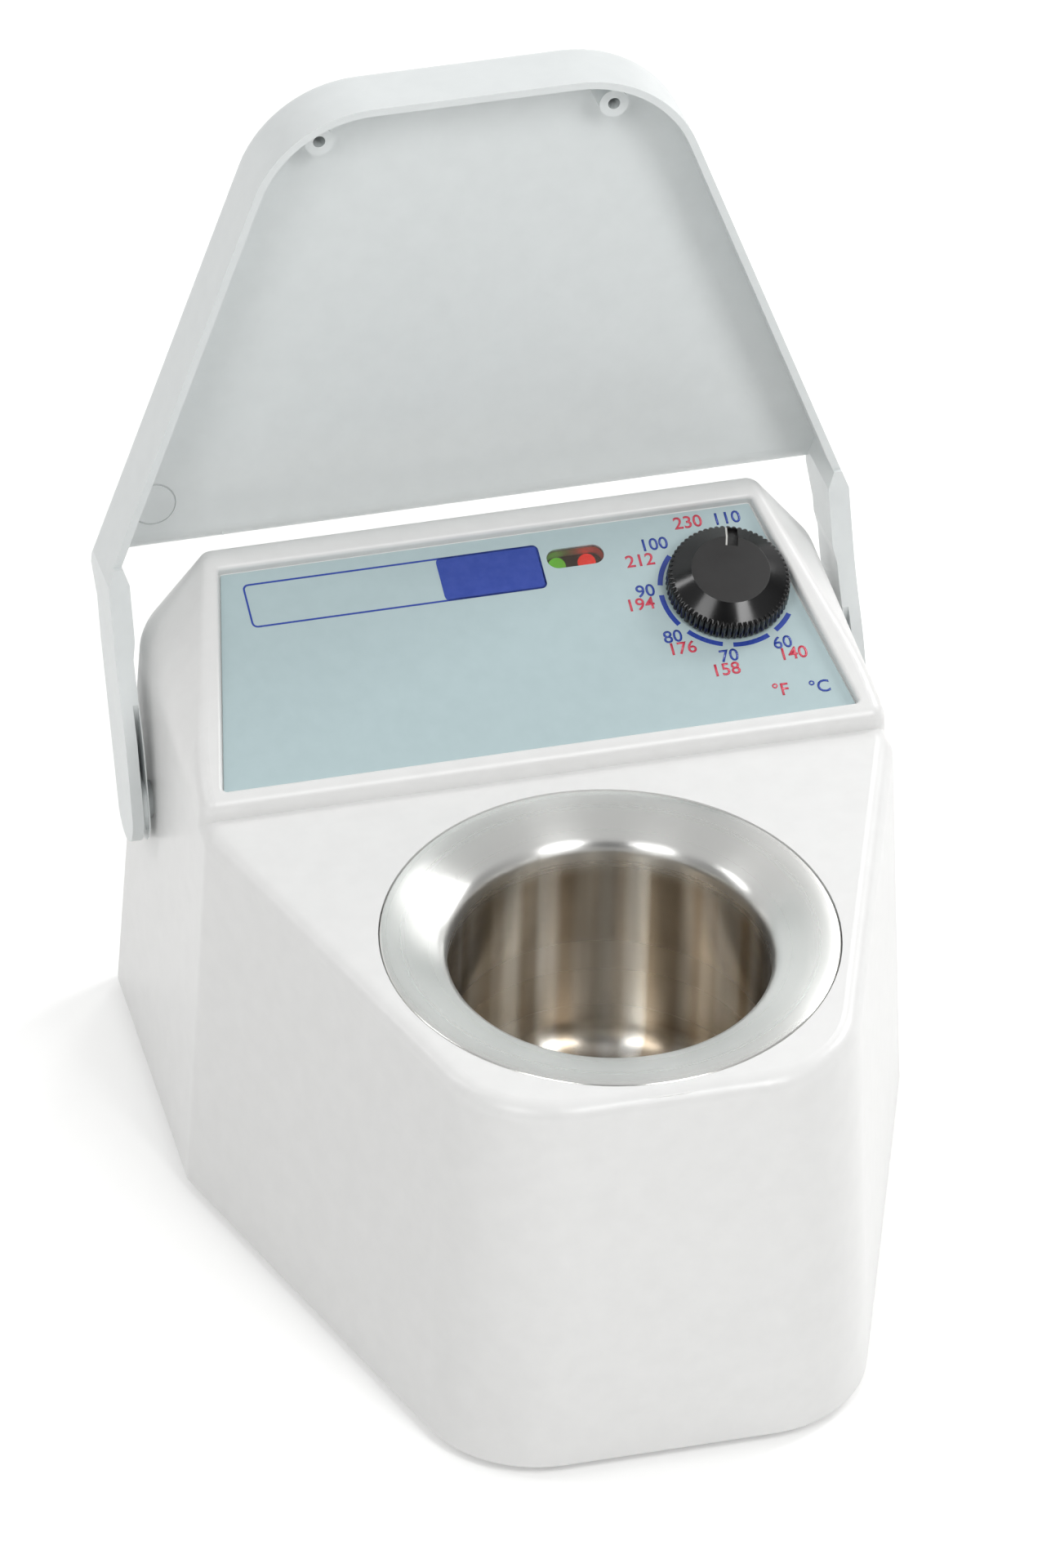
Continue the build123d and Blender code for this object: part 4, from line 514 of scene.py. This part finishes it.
class WAXHEATER_OT_stage(bpy.types.Operator):
    """Sets the floor, the lights, the surroundings and the camera"""
    bl_idname = "wax_heater.stage"
    bl_label = "Stage"

    def execute(self, context):
        view = settings("view")
        scene = context.scene
        scene.view_settings.view_transform = "Standard"
        self.floor()
        self.surroundings(scene, view)
        self.lights(view)
        self.camera(scene, view)
        return {"FINISHED"}

    def floor(self):
        deselect()
        bpy.ops.mesh.primitive_plane_add(size=40.0, location=(0, 0, 0))
        ground = bpy.context.object
        ground.name = "floor"
        material, tree, output = new_material("floor_paper")
        ray = add_node(tree, "ShaderNodeLightPath")
        seen = add_node(tree, "ShaderNodeMath", {"operation": "MAXIMUM"},
                        {0: ray.outputs["Is Camera Ray"], 1: ray.outputs["Is Glossy Ray"]})
        seen = add_node(tree, "ShaderNodeMath", {"operation": "MAXIMUM"},
                        {0: seen.outputs[0], 1: ray.outputs["Is Transmission Ray"]})
        # the paper is lit less far from the heater, so it is lifted more there
        coords = add_node(tree, "ShaderNodeTexCoord")
        away = add_node(tree, "ShaderNodeVectorMath", {"operation": "LENGTH"}, {0: coords.outputs["Object"]})
        amount = add_node(tree, "ShaderNodeMapRange",
                          {"interpolation_type": "SMOOTHSTEP", "From Min": 0.3, "From Max": 1.2, "To Min": 0.25,
                           "To Max": 0.8}, {"Value": away.outputs["Value"]})
        lift = add_node(tree, "ShaderNodeMath", {"operation": "MULTIPLY"},
                        {0: seen.outputs[0], 1: amount.outputs[0]})
        shader = add_node(tree, "ShaderNodeBsdfPrincipled",
                          {"Base Color": linear("F4F4F3"), "Roughness": 0.9, "Emission Color": (1, 1, 1, 1)},
                          {"Emission Strength": lift.outputs[0]})
        close(tree, output, shader)
        ground.data.materials.append(material)

    def surroundings(self, scene, view):
        """A pale wall behind, a dimmer room at the front and sides, and a dim ceiling."""
        world = bpy.data.worlds.new("surroundings")
        scene.world = world
        world.use_nodes = True
        tree = world.node_tree
        tree.nodes.clear()
        output = add_node(tree, "ShaderNodeOutputWorld")
        coords = add_node(tree, "ShaderNodeTexCoord")
        split = add_node(tree, "ShaderNodeSeparateXYZ", {}, {0: coords.outputs["Generated"]})
        behind = add_node(tree, "ShaderNodeMapRange", {"To Min": view.wall_side, "To Max": view.wall_back},
                          {"Value": split.outputs["Y"]})
        ahead = add_node(tree, "ShaderNodeMapRange",
                         {"From Min": 0.0, "From Max": -1.0, "To Min": 0.0, "To Max": view.wall_front - view.wall_side},
                         {"Value": split.outputs["Y"]})
        walls = add_node(tree, "ShaderNodeMath", {"operation": "ADD"}, {0: behind.outputs[0], 1: ahead.outputs[0]})
        rise = add_node(tree, "ShaderNodeMapRange", {"interpolation_type": "SMOOTHSTEP", "From Min": 0.45,
                                                     "From Max": 0.95}, {"Value": split.outputs["Z"]})
        level = add_node(tree, "ShaderNodeMix", {"data_type": "FLOAT", "B": view.ceiling},
                         {"Factor": rise.outputs[0], "A": walls.outputs[0]})
        # the dark side of the room that a person at the bench looks in from
        near = add_node(tree, "ShaderNodeVectorMath", {"operation": "DOT_PRODUCT", 1: (-0.18, -0.76, 0.62)},
                        {0: coords.outputs["Generated"]})
        dark = add_node(tree, "ShaderNodeMapRange",
                        {"interpolation_type": "SMOOTHSTEP", "From Min": 0.86, "From Max": 0.98, "To Min": 1.0,
                         "To Max": 0.15}, {"Value": near.outputs["Value"]})
        level = add_node(tree, "ShaderNodeMath", {"operation": "MULTIPLY"},
                         {0: level.outputs["Result"], 1: dark.outputs[0]})
        light = add_node(tree, "ShaderNodeBackground", {"Color": (1, 1, 1, 1)}, {"Strength": level.outputs[0]})
        close(tree, output, light)

    def lights(self, view):
        """Five soft boxes at 1.2 m: name, direction round +Z from +X, rise, power, width and height."""
        lamps = (
            ("key_box", 24, 36, view.key, 0.24, 0.34),
            ("rear_box", 56, 38, view.rear, 0.24, 0.34),
            ("right_box", -66, 48, view.right, 0.34, 0.5),
            ("left_box", -134, 45, view.left, 0.4, 0.5),
            ("side_box", 158, 43, view.side, 0.12, 0.5),
        )
        target = Vector((0, 0, 0.06))
        for name, turn, rise, power, width, height in lamps:
            turn, rise = radians(turn), radians(rise)
            way = Vector((cos(turn) * cos(rise), sin(turn) * cos(rise), sin(rise)))
            bpy.ops.object.light_add(type="AREA", location=target + 1.2 * way)
            lamp = bpy.context.object
            lamp.name = name
            lamp.data.energy = power
            lamp.data.shape = "RECTANGLE"
            lamp.data.size = width
            lamp.data.size_y = height
            lamp.rotation_euler = (-way).to_track_quat("-Z", "Y").to_euler()

    def camera(self, scene, view):
        sight = Vector((sin(view.yaw) * cos(view.pitch), cos(view.yaw) * cos(view.pitch), -sin(view.pitch)))
        right = Vector((cos(view.yaw), -sin(view.yaw), 0))
        up = right.cross(sight)
        turned_right = right * cos(view.roll) + up * sin(view.roll)
        turned_up = up * cos(view.roll) - right * sin(view.roll)
        lens = bpy.data.cameras.new("camera")
        camera = bpy.data.objects.new("camera", lens)
        scene.collection.objects.link(camera)
        camera.matrix_world = Matrix((
            (turned_right.x, turned_up.x, -sight.x, view.place[0]),
            (turned_right.y, turned_up.y, -sight.y, view.place[1]),
            (turned_right.z, turned_up.z, -sight.z, view.place[2]),
            (0, 0, 0, 1),
        ))
        lens.sensor_width = 36.0
        lens.lens = 36.0 * view.focal
        lens.shift_x = 0.0023
        lens.shift_y = -0.0028
        lens.clip_start = 0.1
        lens.clip_end = 10.0
        scene.camera = camera


class WAXHEATER_OT_cad_finish(bpy.types.Operator):
    """Gives every CAD piece the finish of its real material"""
    bl_idname = "wax_heater.cad_finish"
    bl_label = "Case and chassis"

    def execute(self, context):
        finish = settings("finish")
        made = {
            "housing_plastic": case_abs(finish),
            "lid_plastic": lid_abs(finish),
            "base_plastic": moulded_plastic("base_moulded_abs", "D6D6D3", 0.5),
            "pot_aluminium": plated_metal("shaft_aluminium", "D6D5D1", 0.3),
            "panel_foil": polyester_foil(finish),
            "knob_plastic": moulded_plastic("knob_black_abs", "0E0E0F", 0.2),
            "pointer_paint": moulded_plastic("pointer_white_paint", "E9E9E4", 0.5),
            "smoked_lens": smoked_film(),
            "green_lens": lamp_epoxy("green_epoxy_off", "5DAA2C", 0.0),
            "red_lens": lamp_epoxy("red_epoxy_lit", "E8201A", 1.0),
            "dark_plastic": moulded_plastic("black_polyamide", "17181A", 0.45),
            "feet_rubber": moulded_plastic("feet_rubber", "232325", 0.8, 0.4, 0.03),
            "zinc_steel": plated_metal("zinc_plated_steel", "B9BBBE", 0.35),
            "nickel_brass": plated_metal("nickel_plated_brass", "C9C3B2", 0.25),
            "board_laminate": moulded_plastic("solder_resist", "1E5A36", 0.35),
            "transformer_iron": moulded_plastic("varnished_laminations", "3E3F44", 0.5),
            "relay_plastic": moulded_plastic("relay_blue_pbt", "1F3A86", 0.35),
            "terminal_plastic": moulded_plastic("terminal_green_pa", "2B7042", 0.4),
            "ceramic_fibre": fibre_blanket(),
            "wire_cover": moulded_plastic("silicone_wire_cover", "45464C", 0.6),
        }
        slots = {row["node"]: row["material_slot"] for row in frame["record"]["subparts"]}
        for name, node in frame["nodes"].items():
            node.data.materials.clear()
            node.data.materials.append(made[slots[name]])
        return {"FINISHED"}


class WAXHEATER_OT_turned_pot(bpy.types.Operator):
    """Turns the aluminium pot"""
    bl_idname = "wax_heater.turned_pot"
    bl_label = "Wax pot"

    def execute(self, context):
        pot = settings("pot")
        low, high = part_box("wax_pot")
        centre = (low + high) / 2
        drop = (pot.rim_r - pot.bore_r) * sin(pot.funnel) / cos(pot.funnel)
        height = (high.z - low.z) / MM
        outer_r = pot.bore_r + 2.0
        inside = [(pot.flange_r, -2.55), (pot.flange_r, 0), (pot.rim_r, 0), (pot.bore_r, -drop),
                  (pot.bore_r, -pot.depth), (0, -pot.depth)]
        inside = rounded(inside, {1: 0.35, 3: pot.lip_r, 4: 5.0}, 14)
        outside = [(33.2, -2.6), (outer_r, -5.2), (outer_r, -height), (0, -height)]
        outside = rounded(outside, {2: 5.0}, 6)
        place = Matrix.Translation((centre.x, centre.y, high.z))
        shell = lathe(inside, place, pot.segments)
        under = lathe([inside[0]] + outside, place, pot.segments)
        join([shell, under])
        bpy.ops.object.mode_set(mode="EDIT")
        bpy.ops.mesh.select_all(action="SELECT")
        bpy.ops.mesh.remove_doubles(threshold=0.00001)
        bpy.ops.mesh.normals_make_consistent(inside=False)
        metal = turned_aluminium(settings("finish"), centre, high.z)
        piece = finish_piece("wax_pot_turned", metal, "case", 30, ["wax_pot"])
        map_round(piece, Vector((centre.x, centre.y, high.z)))
        return {"FINISHED"}


class WAXHEATER_OT_knob(bpy.types.Operator):
    """Moulds the fluted knob and fills its pointer line"""
    bl_idname = "wax_heater.knob"
    bl_label = "Knob"

    def execute(self, context):
        knob = settings("knob")
        per_flute = 8
        profile = [(8.0, 0.4), (knob.skirt_r, 0.4), (knob.skirt_r - 0.12, knob.skirt_h - 0.3),
                   (knob.shoulder_r, knob.skirt_h)]
        profile += [(r, self.surface(knob, r)) for r in (knob.shoulder_r - 0.5, knob.shoulder_r - 0.6)]
        profile += [(knob.top_r, knob.height), (0, knob.height)]
        profile = rounded(profile, {1: 0.15, 3: 0.25, 6: 0.25}, 4)
        body = lathe(profile, Matrix.Identity(4), knob.flutes * per_flute)
        self.flute(body, knob)
        self.cut_slot(body, knob)
        body.matrix_world = DIAL_FRAME @ Matrix.Rotation(knob.pointer, 4, "Z")
        gloss = moulded_plastic("knob_black_gloss", "0B0B0C", 0.16, 0.5, 0.004)
        finish_piece("knob_moulded", gloss, "dial", 32, ["knob"])
        body.data.materials.append(moulded_plastic("knob_black_matt", "252424", 0.5, 0.35, 0.02))
        self.matt_faces(body, knob)
        self.line(knob)
        return {"FINISHED"}

    def surface(self, knob, r):
        """Height of the knob's top at radius r, in millimetres."""
        if r <= knob.top_r:
            return knob.height
        return knob.height - (r - knob.top_r) * (knob.height - knob.skirt_h) / (knob.shoulder_r - knob.top_r)

    def flute(self, body, knob):
        """Presses the flutes into the skirt and through the edge of the shoulder."""
        for vertex in body.data.vertices:
            r = vertex.co.xy.length / MM
            h = vertex.co.z / MM
            if r < knob.shoulder_r - 0.4 or h > knob.skirt_h + 0.3:
                continue
            turn = atan2(vertex.co.y, vertex.co.x)
            fade = min(1.0, (r - knob.shoulder_r + 0.4) / 0.3)
            dent = 0.4 * fade * (1 - abs(sin(turn * knob.flutes / 2)) ** 0.6)
            vertex.co.x *= 1 - dent / r
            vertex.co.y *= 1 - dent / r

    def bar(self, knob, side, width, deep, shallow):
        """Radial bar that follows the knob's top between two depths below it."""
        start, bend, end = knob.slot_start, knob.top_r, knob.slot_end
        outline = [(r, self.surface(knob, r) - deep) for r in (start, bend, end)]
        outline += [(r, self.surface(knob, r) - shallow) for r in (end, bend, start)]
        deselect()
        bpy.ops.mesh.primitive_circle_add(vertices=6, radius=MM, fill_type="NGON")
        bar = bpy.context.object
        for vertex, (r, h) in zip(bar.data.vertices, outline):
            vertex.co = (r * MM, (side - width / 2) * MM, h * MM)
        bpy.ops.object.mode_set(mode="EDIT")
        bpy.ops.mesh.select_all(action="SELECT")
        bpy.ops.mesh.extrude_region_move(TRANSFORM_OT_translate={"value": (0, width * MM, 0)})
        bpy.ops.mesh.select_all(action="SELECT")
        bpy.ops.mesh.normals_make_consistent(inside=False)
        bpy.ops.object.mode_set(mode="OBJECT")
        return bar

    def cut_slot(self, body, knob):
        """Cuts the pointer slot into the knob's top and shoulder."""
        cutter = self.bar(knob, 0.0, knob.slot_w, knob.slot_depth, -1.0)
        deselect()
        bpy.context.view_layer.objects.active = body
        body.select_set(True)
        cut = body.modifiers.new("slot", "BOOLEAN")
        cut.operation = "DIFFERENCE"
        cut.solver = "EXACT"
        cut.object = cutter
        bpy.ops.object.modifier_apply(modifier="slot")
        bpy.data.objects.remove(cutter)

    def matt_faces(self, body, knob):
        """The flat top and the slot are matt; the shoulder and the skirt are glossy."""
        to_dial = (DIAL_FRAME @ Matrix.Rotation(knob.pointer, 4, "Z")).inverted()
        for face in body.data.polygons:
            local = (to_dial @ face.center) / MM
            top = self.surface(knob, local.xy.length)
            in_slot = abs(local.y) < knob.slot_w / 2 + 0.01 and knob.slot_start < local.x < knob.slot_end
            if local.z > knob.height - 0.05 or (in_slot and local.z < top - 0.05):
                face.material_index = 1

    def line(self, knob):
        """White line along the slot's left wall."""
        line = self.bar(knob, (knob.slot_w - knob.line_w) / 2, knob.line_w, knob.slot_depth - 0.02, 0.06)
        line.matrix_world = DIAL_FRAME @ Matrix.Rotation(knob.pointer, 4, "Z")
        white = moulded_plastic("pointer_white", "C2C2BE", 0.5)
        finish_piece("knob_line", white, "dial", None, ["knob_pointer"])


class WAXHEATER_OT_panel_print(bpy.types.Operator):
    """Prints the dial's ring, its numbers and the plain name plate on the foil"""
    bl_idname = "wax_heater.panel_print"
    bl_label = "Panel print"

    RING_SPANS = ((136, 168), (178, 211), (221, 253), (262, 295), (303, 324))
    CELSIUS = (("110", 3.0, 13.2), ("100", -9.9, 10.1), ("90", -13.3, 1.5), ("80", -10.9, -7.8),
               ("70", -2.7, -12.8), ("60", 6.5, -11.7), ("°C", 10.47, -20.94))
    FAHRENHEIT = (("230", -3.4, 13.4), ("212", -12.8, 7.4), ("194", -14.7, -0.9), ("176", -9.9, -10.2),
                  ("158", -3.8, -15.3), ("140", 7.7, -14.0), ("°F", 4.07, -20.54))

    def execute(self, context):
        panel = settings("panel")
        finish = settings("finish")
        blue = printed_ink("blue_ink", finish.blue)
        red = printed_ink("red_ink", finish.red)
        self.ring(panel, blue)
        self.numbers("celsius_numbers", self.CELSIUS, panel, blue)
        self.numbers("fahrenheit_numbers", self.FAHRENHEIT, panel, red)
        self.plate(blue)
        return {"FINISHED"}

    def ink_layer(self, flat_pieces, name, ink):
        """Joins flat shapes, gives them the ink's thickness and lays them on the foil."""
        join(flat_pieces)
        layer = bpy.context.object
        wall = layer.modifiers.new("ink", "SOLIDIFY")
        wall.thickness = 0.03 * MM
        wall.offset = 1.0
        bpy.ops.object.modifier_apply(modifier="ink")
        finish_piece(name, ink, "case")

    def ring(self, panel, ink):
        arcs = []
        inner = panel.ring_r - panel.ring_w / 2
        for start, end in self.RING_SPANS:
            deselect()
            bpy.ops.mesh.primitive_plane_add(size=1)
            arc = bpy.context.object
            mesh = arc.data
            bpy.ops.object.mode_set(mode="EDIT")
            bpy.ops.mesh.select_all(action="SELECT")
            bpy.ops.mesh.delete(type="ONLY_FACE")
            bpy.ops.object.mode_set(mode="OBJECT")
            a = radians(start)
            ends = [Vector((cos(a), sin(a), 0)) * (inner + k * panel.ring_w) * MM for k in (0, 1, 1, 0)]
            for vertex, place in zip(mesh.vertices, ends):
                vertex.co = place
            bpy.ops.object.mode_set(mode="EDIT")
            bpy.ops.mesh.select_all(action="SELECT")
            bpy.ops.mesh.remove_doubles(threshold=0.000001)
            bpy.ops.mesh.select_all(action="SELECT")
            bpy.ops.mesh.spin(steps=12, angle=-radians(end - start), center=(0, 0, 0), axis=(0, 0, 1))
            bpy.ops.mesh.select_all(action="SELECT")
            bpy.ops.mesh.remove_doubles(threshold=0.000001)
            bpy.ops.object.mode_set(mode="OBJECT")
            arc.matrix_world = DIAL_FRAME @ Matrix.Translation((0, 0, 0.01 * MM))
            arcs.append(arc)
        self.ink_layer(arcs, "dial_ring", ink)

    def numbers(self, name, words, panel, ink):
        made = []
        for word, x, y in words:
            deselect()
            bpy.ops.object.text_add()
            text = bpy.context.object
            text.data.body = word
            text.data.align_x = "CENTER"
            text.data.align_y = "CENTER"
            text.data.size = panel.digit / 0.73 * MM
            text.data.offset = panel.ink_spread * MM
            text.data.resolution_u = 4
            bpy.ops.object.convert(target="MESH")
            text = bpy.context.object
            text.matrix_world = DIAL_FRAME @ Matrix.Translation((x * MM, y * MM, 0.01 * MM))
            made.append(text)
        self.ink_layer(made, name, ink)

    def plate(self, ink):
        """A plain rounded frame with one filled end, where a name plate would be."""
        left, right, low, high, divide = -41.0 - 36.73, 8.0 - 36.73, 30.0 - 25.24, 38.4 - 25.24, -9.0 - 36.73
        flat = []
        for x0, x1 in ((left, right), (divide, right)):
            deselect()
            bpy.ops.mesh.primitive_plane_add(size=1)
            board = bpy.context.object
            board.scale = ((x1 - x0) * MM, (high - low) * MM, 1)
            bpy.ops.object.transform_apply(location=False, rotation=False, scale=True)
            bpy.ops.object.mode_set(mode="EDIT")
            bpy.ops.mesh.select_all(action="SELECT")
            bpy.ops.mesh.bevel(offset=1.0 * MM, segments=5, affect="VERTICES")
            if x0 == left:
                bpy.ops.mesh.select_all(action="SELECT")
                bpy.ops.mesh.inset(thickness=0.32 * MM)
                bpy.ops.mesh.delete(type="FACE")
            bpy.ops.object.mode_set(mode="OBJECT")
            middle = Matrix.Translation(((x0 + x1) / 2 * MM, (low + high) / 2 * MM, 0.01 * MM))
            board.matrix_world = DIAL_FRAME @ middle
            flat.append(board)
        self.ink_layer(flat, "name_plate_blank", ink)


class WAXHEATER_OT_lamps(bpy.types.Operator):
    """Fits the two indicator lamps behind the window"""
    bl_idname = "wax_heater.lamps"
    bl_label = "Lamps"

    def execute(self, context):
        r = settings("panel").lamp_r
        kinds = (
            ("green_led", "green_lamp", "green_lens", lamp_epoxy("green_epoxy", "6CD62E", 1.5)),
            ("red_led", "red_lamp", "red_lens", lamp_epoxy("red_epoxy", "F02A20", 2.2)),
        )
        for node, name, slot, material in kinds:
            low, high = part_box(node)
            centre = (low + high) / 2
            length = 4.5
            dome = [(r, -length / 2), (r, length / 2 - r)]
            dome += [(r * cos(a), length / 2 - r + r * sin(a)) for a in (radians(k) for k in range(12, 90, 12))]
            dome += [(0, length / 2)]
            dome = [(0.6 * r, -length / 2)] + dome
            place = DIAL_FRAME.copy()
            place.translation = centre
            lathe(dome, place, 40)
            bpy.ops.object.mode_set(mode="EDIT")
            bpy.ops.mesh.select_all(action="SELECT")
            bpy.ops.mesh.fill_holes(sides=0)
            bpy.ops.mesh.select_all(action="SELECT")
            bpy.ops.mesh.normals_make_consistent(inside=False)
            finish_piece(name, material, "case", 40, [node])
        return {"FINISHED"}


STEPS = (WAXHEATER_OT_stage, WAXHEATER_OT_cad_finish, WAXHEATER_OT_turned_pot, WAXHEATER_OT_knob,
         WAXHEATER_OT_panel_print, WAXHEATER_OT_lamps)


class WAXHEATER_PT_sidebar(bpy.types.Panel):
    """Sizes, colours and steps of the wax heater"""
    bl_label = "Wax Heater"
    bl_space_type = "VIEW_3D"
    bl_region_type = "UI"
    bl_category = "Wax Heater"

    def draw(self, context):
        for group, kind in SETTINGS.items():
            box = self.layout.box()
            box.label(text=group.title())
            for name in kind.__annotations__:
                box.prop(settings(group), name)
        for step in STEPS:
            self.layout.operator(step.bl_idname)


def register():
    for kind in (*SETTINGS.values(), *STEPS, WAXHEATER_PT_sidebar):
        bpy.utils.register_class(kind)
    for group, kind in SETTINGS.items():
        setattr(bpy.types.Scene, "wax_heater_" + group, PointerProperty(type=kind))


def unregister():
    for group in SETTINGS:
        delattr(bpy.types.Scene, "wax_heater_" + group)
    for kind in reversed((*SETTINGS.values(), *STEPS, WAXHEATER_PT_sidebar)):
        bpy.utils.unregister_class(kind)


def main():
    register()
    for step in STEPS:
        area, name = step.bl_idname.split(".")
        if getattr(getattr(bpy.ops, area), name)() != {"FINISHED"}:
            raise RuntimeError(step.bl_label + " did not finish")
    deselect()
    bpy.context.view_layer.update()


if __name__ == "__main__":
    main()
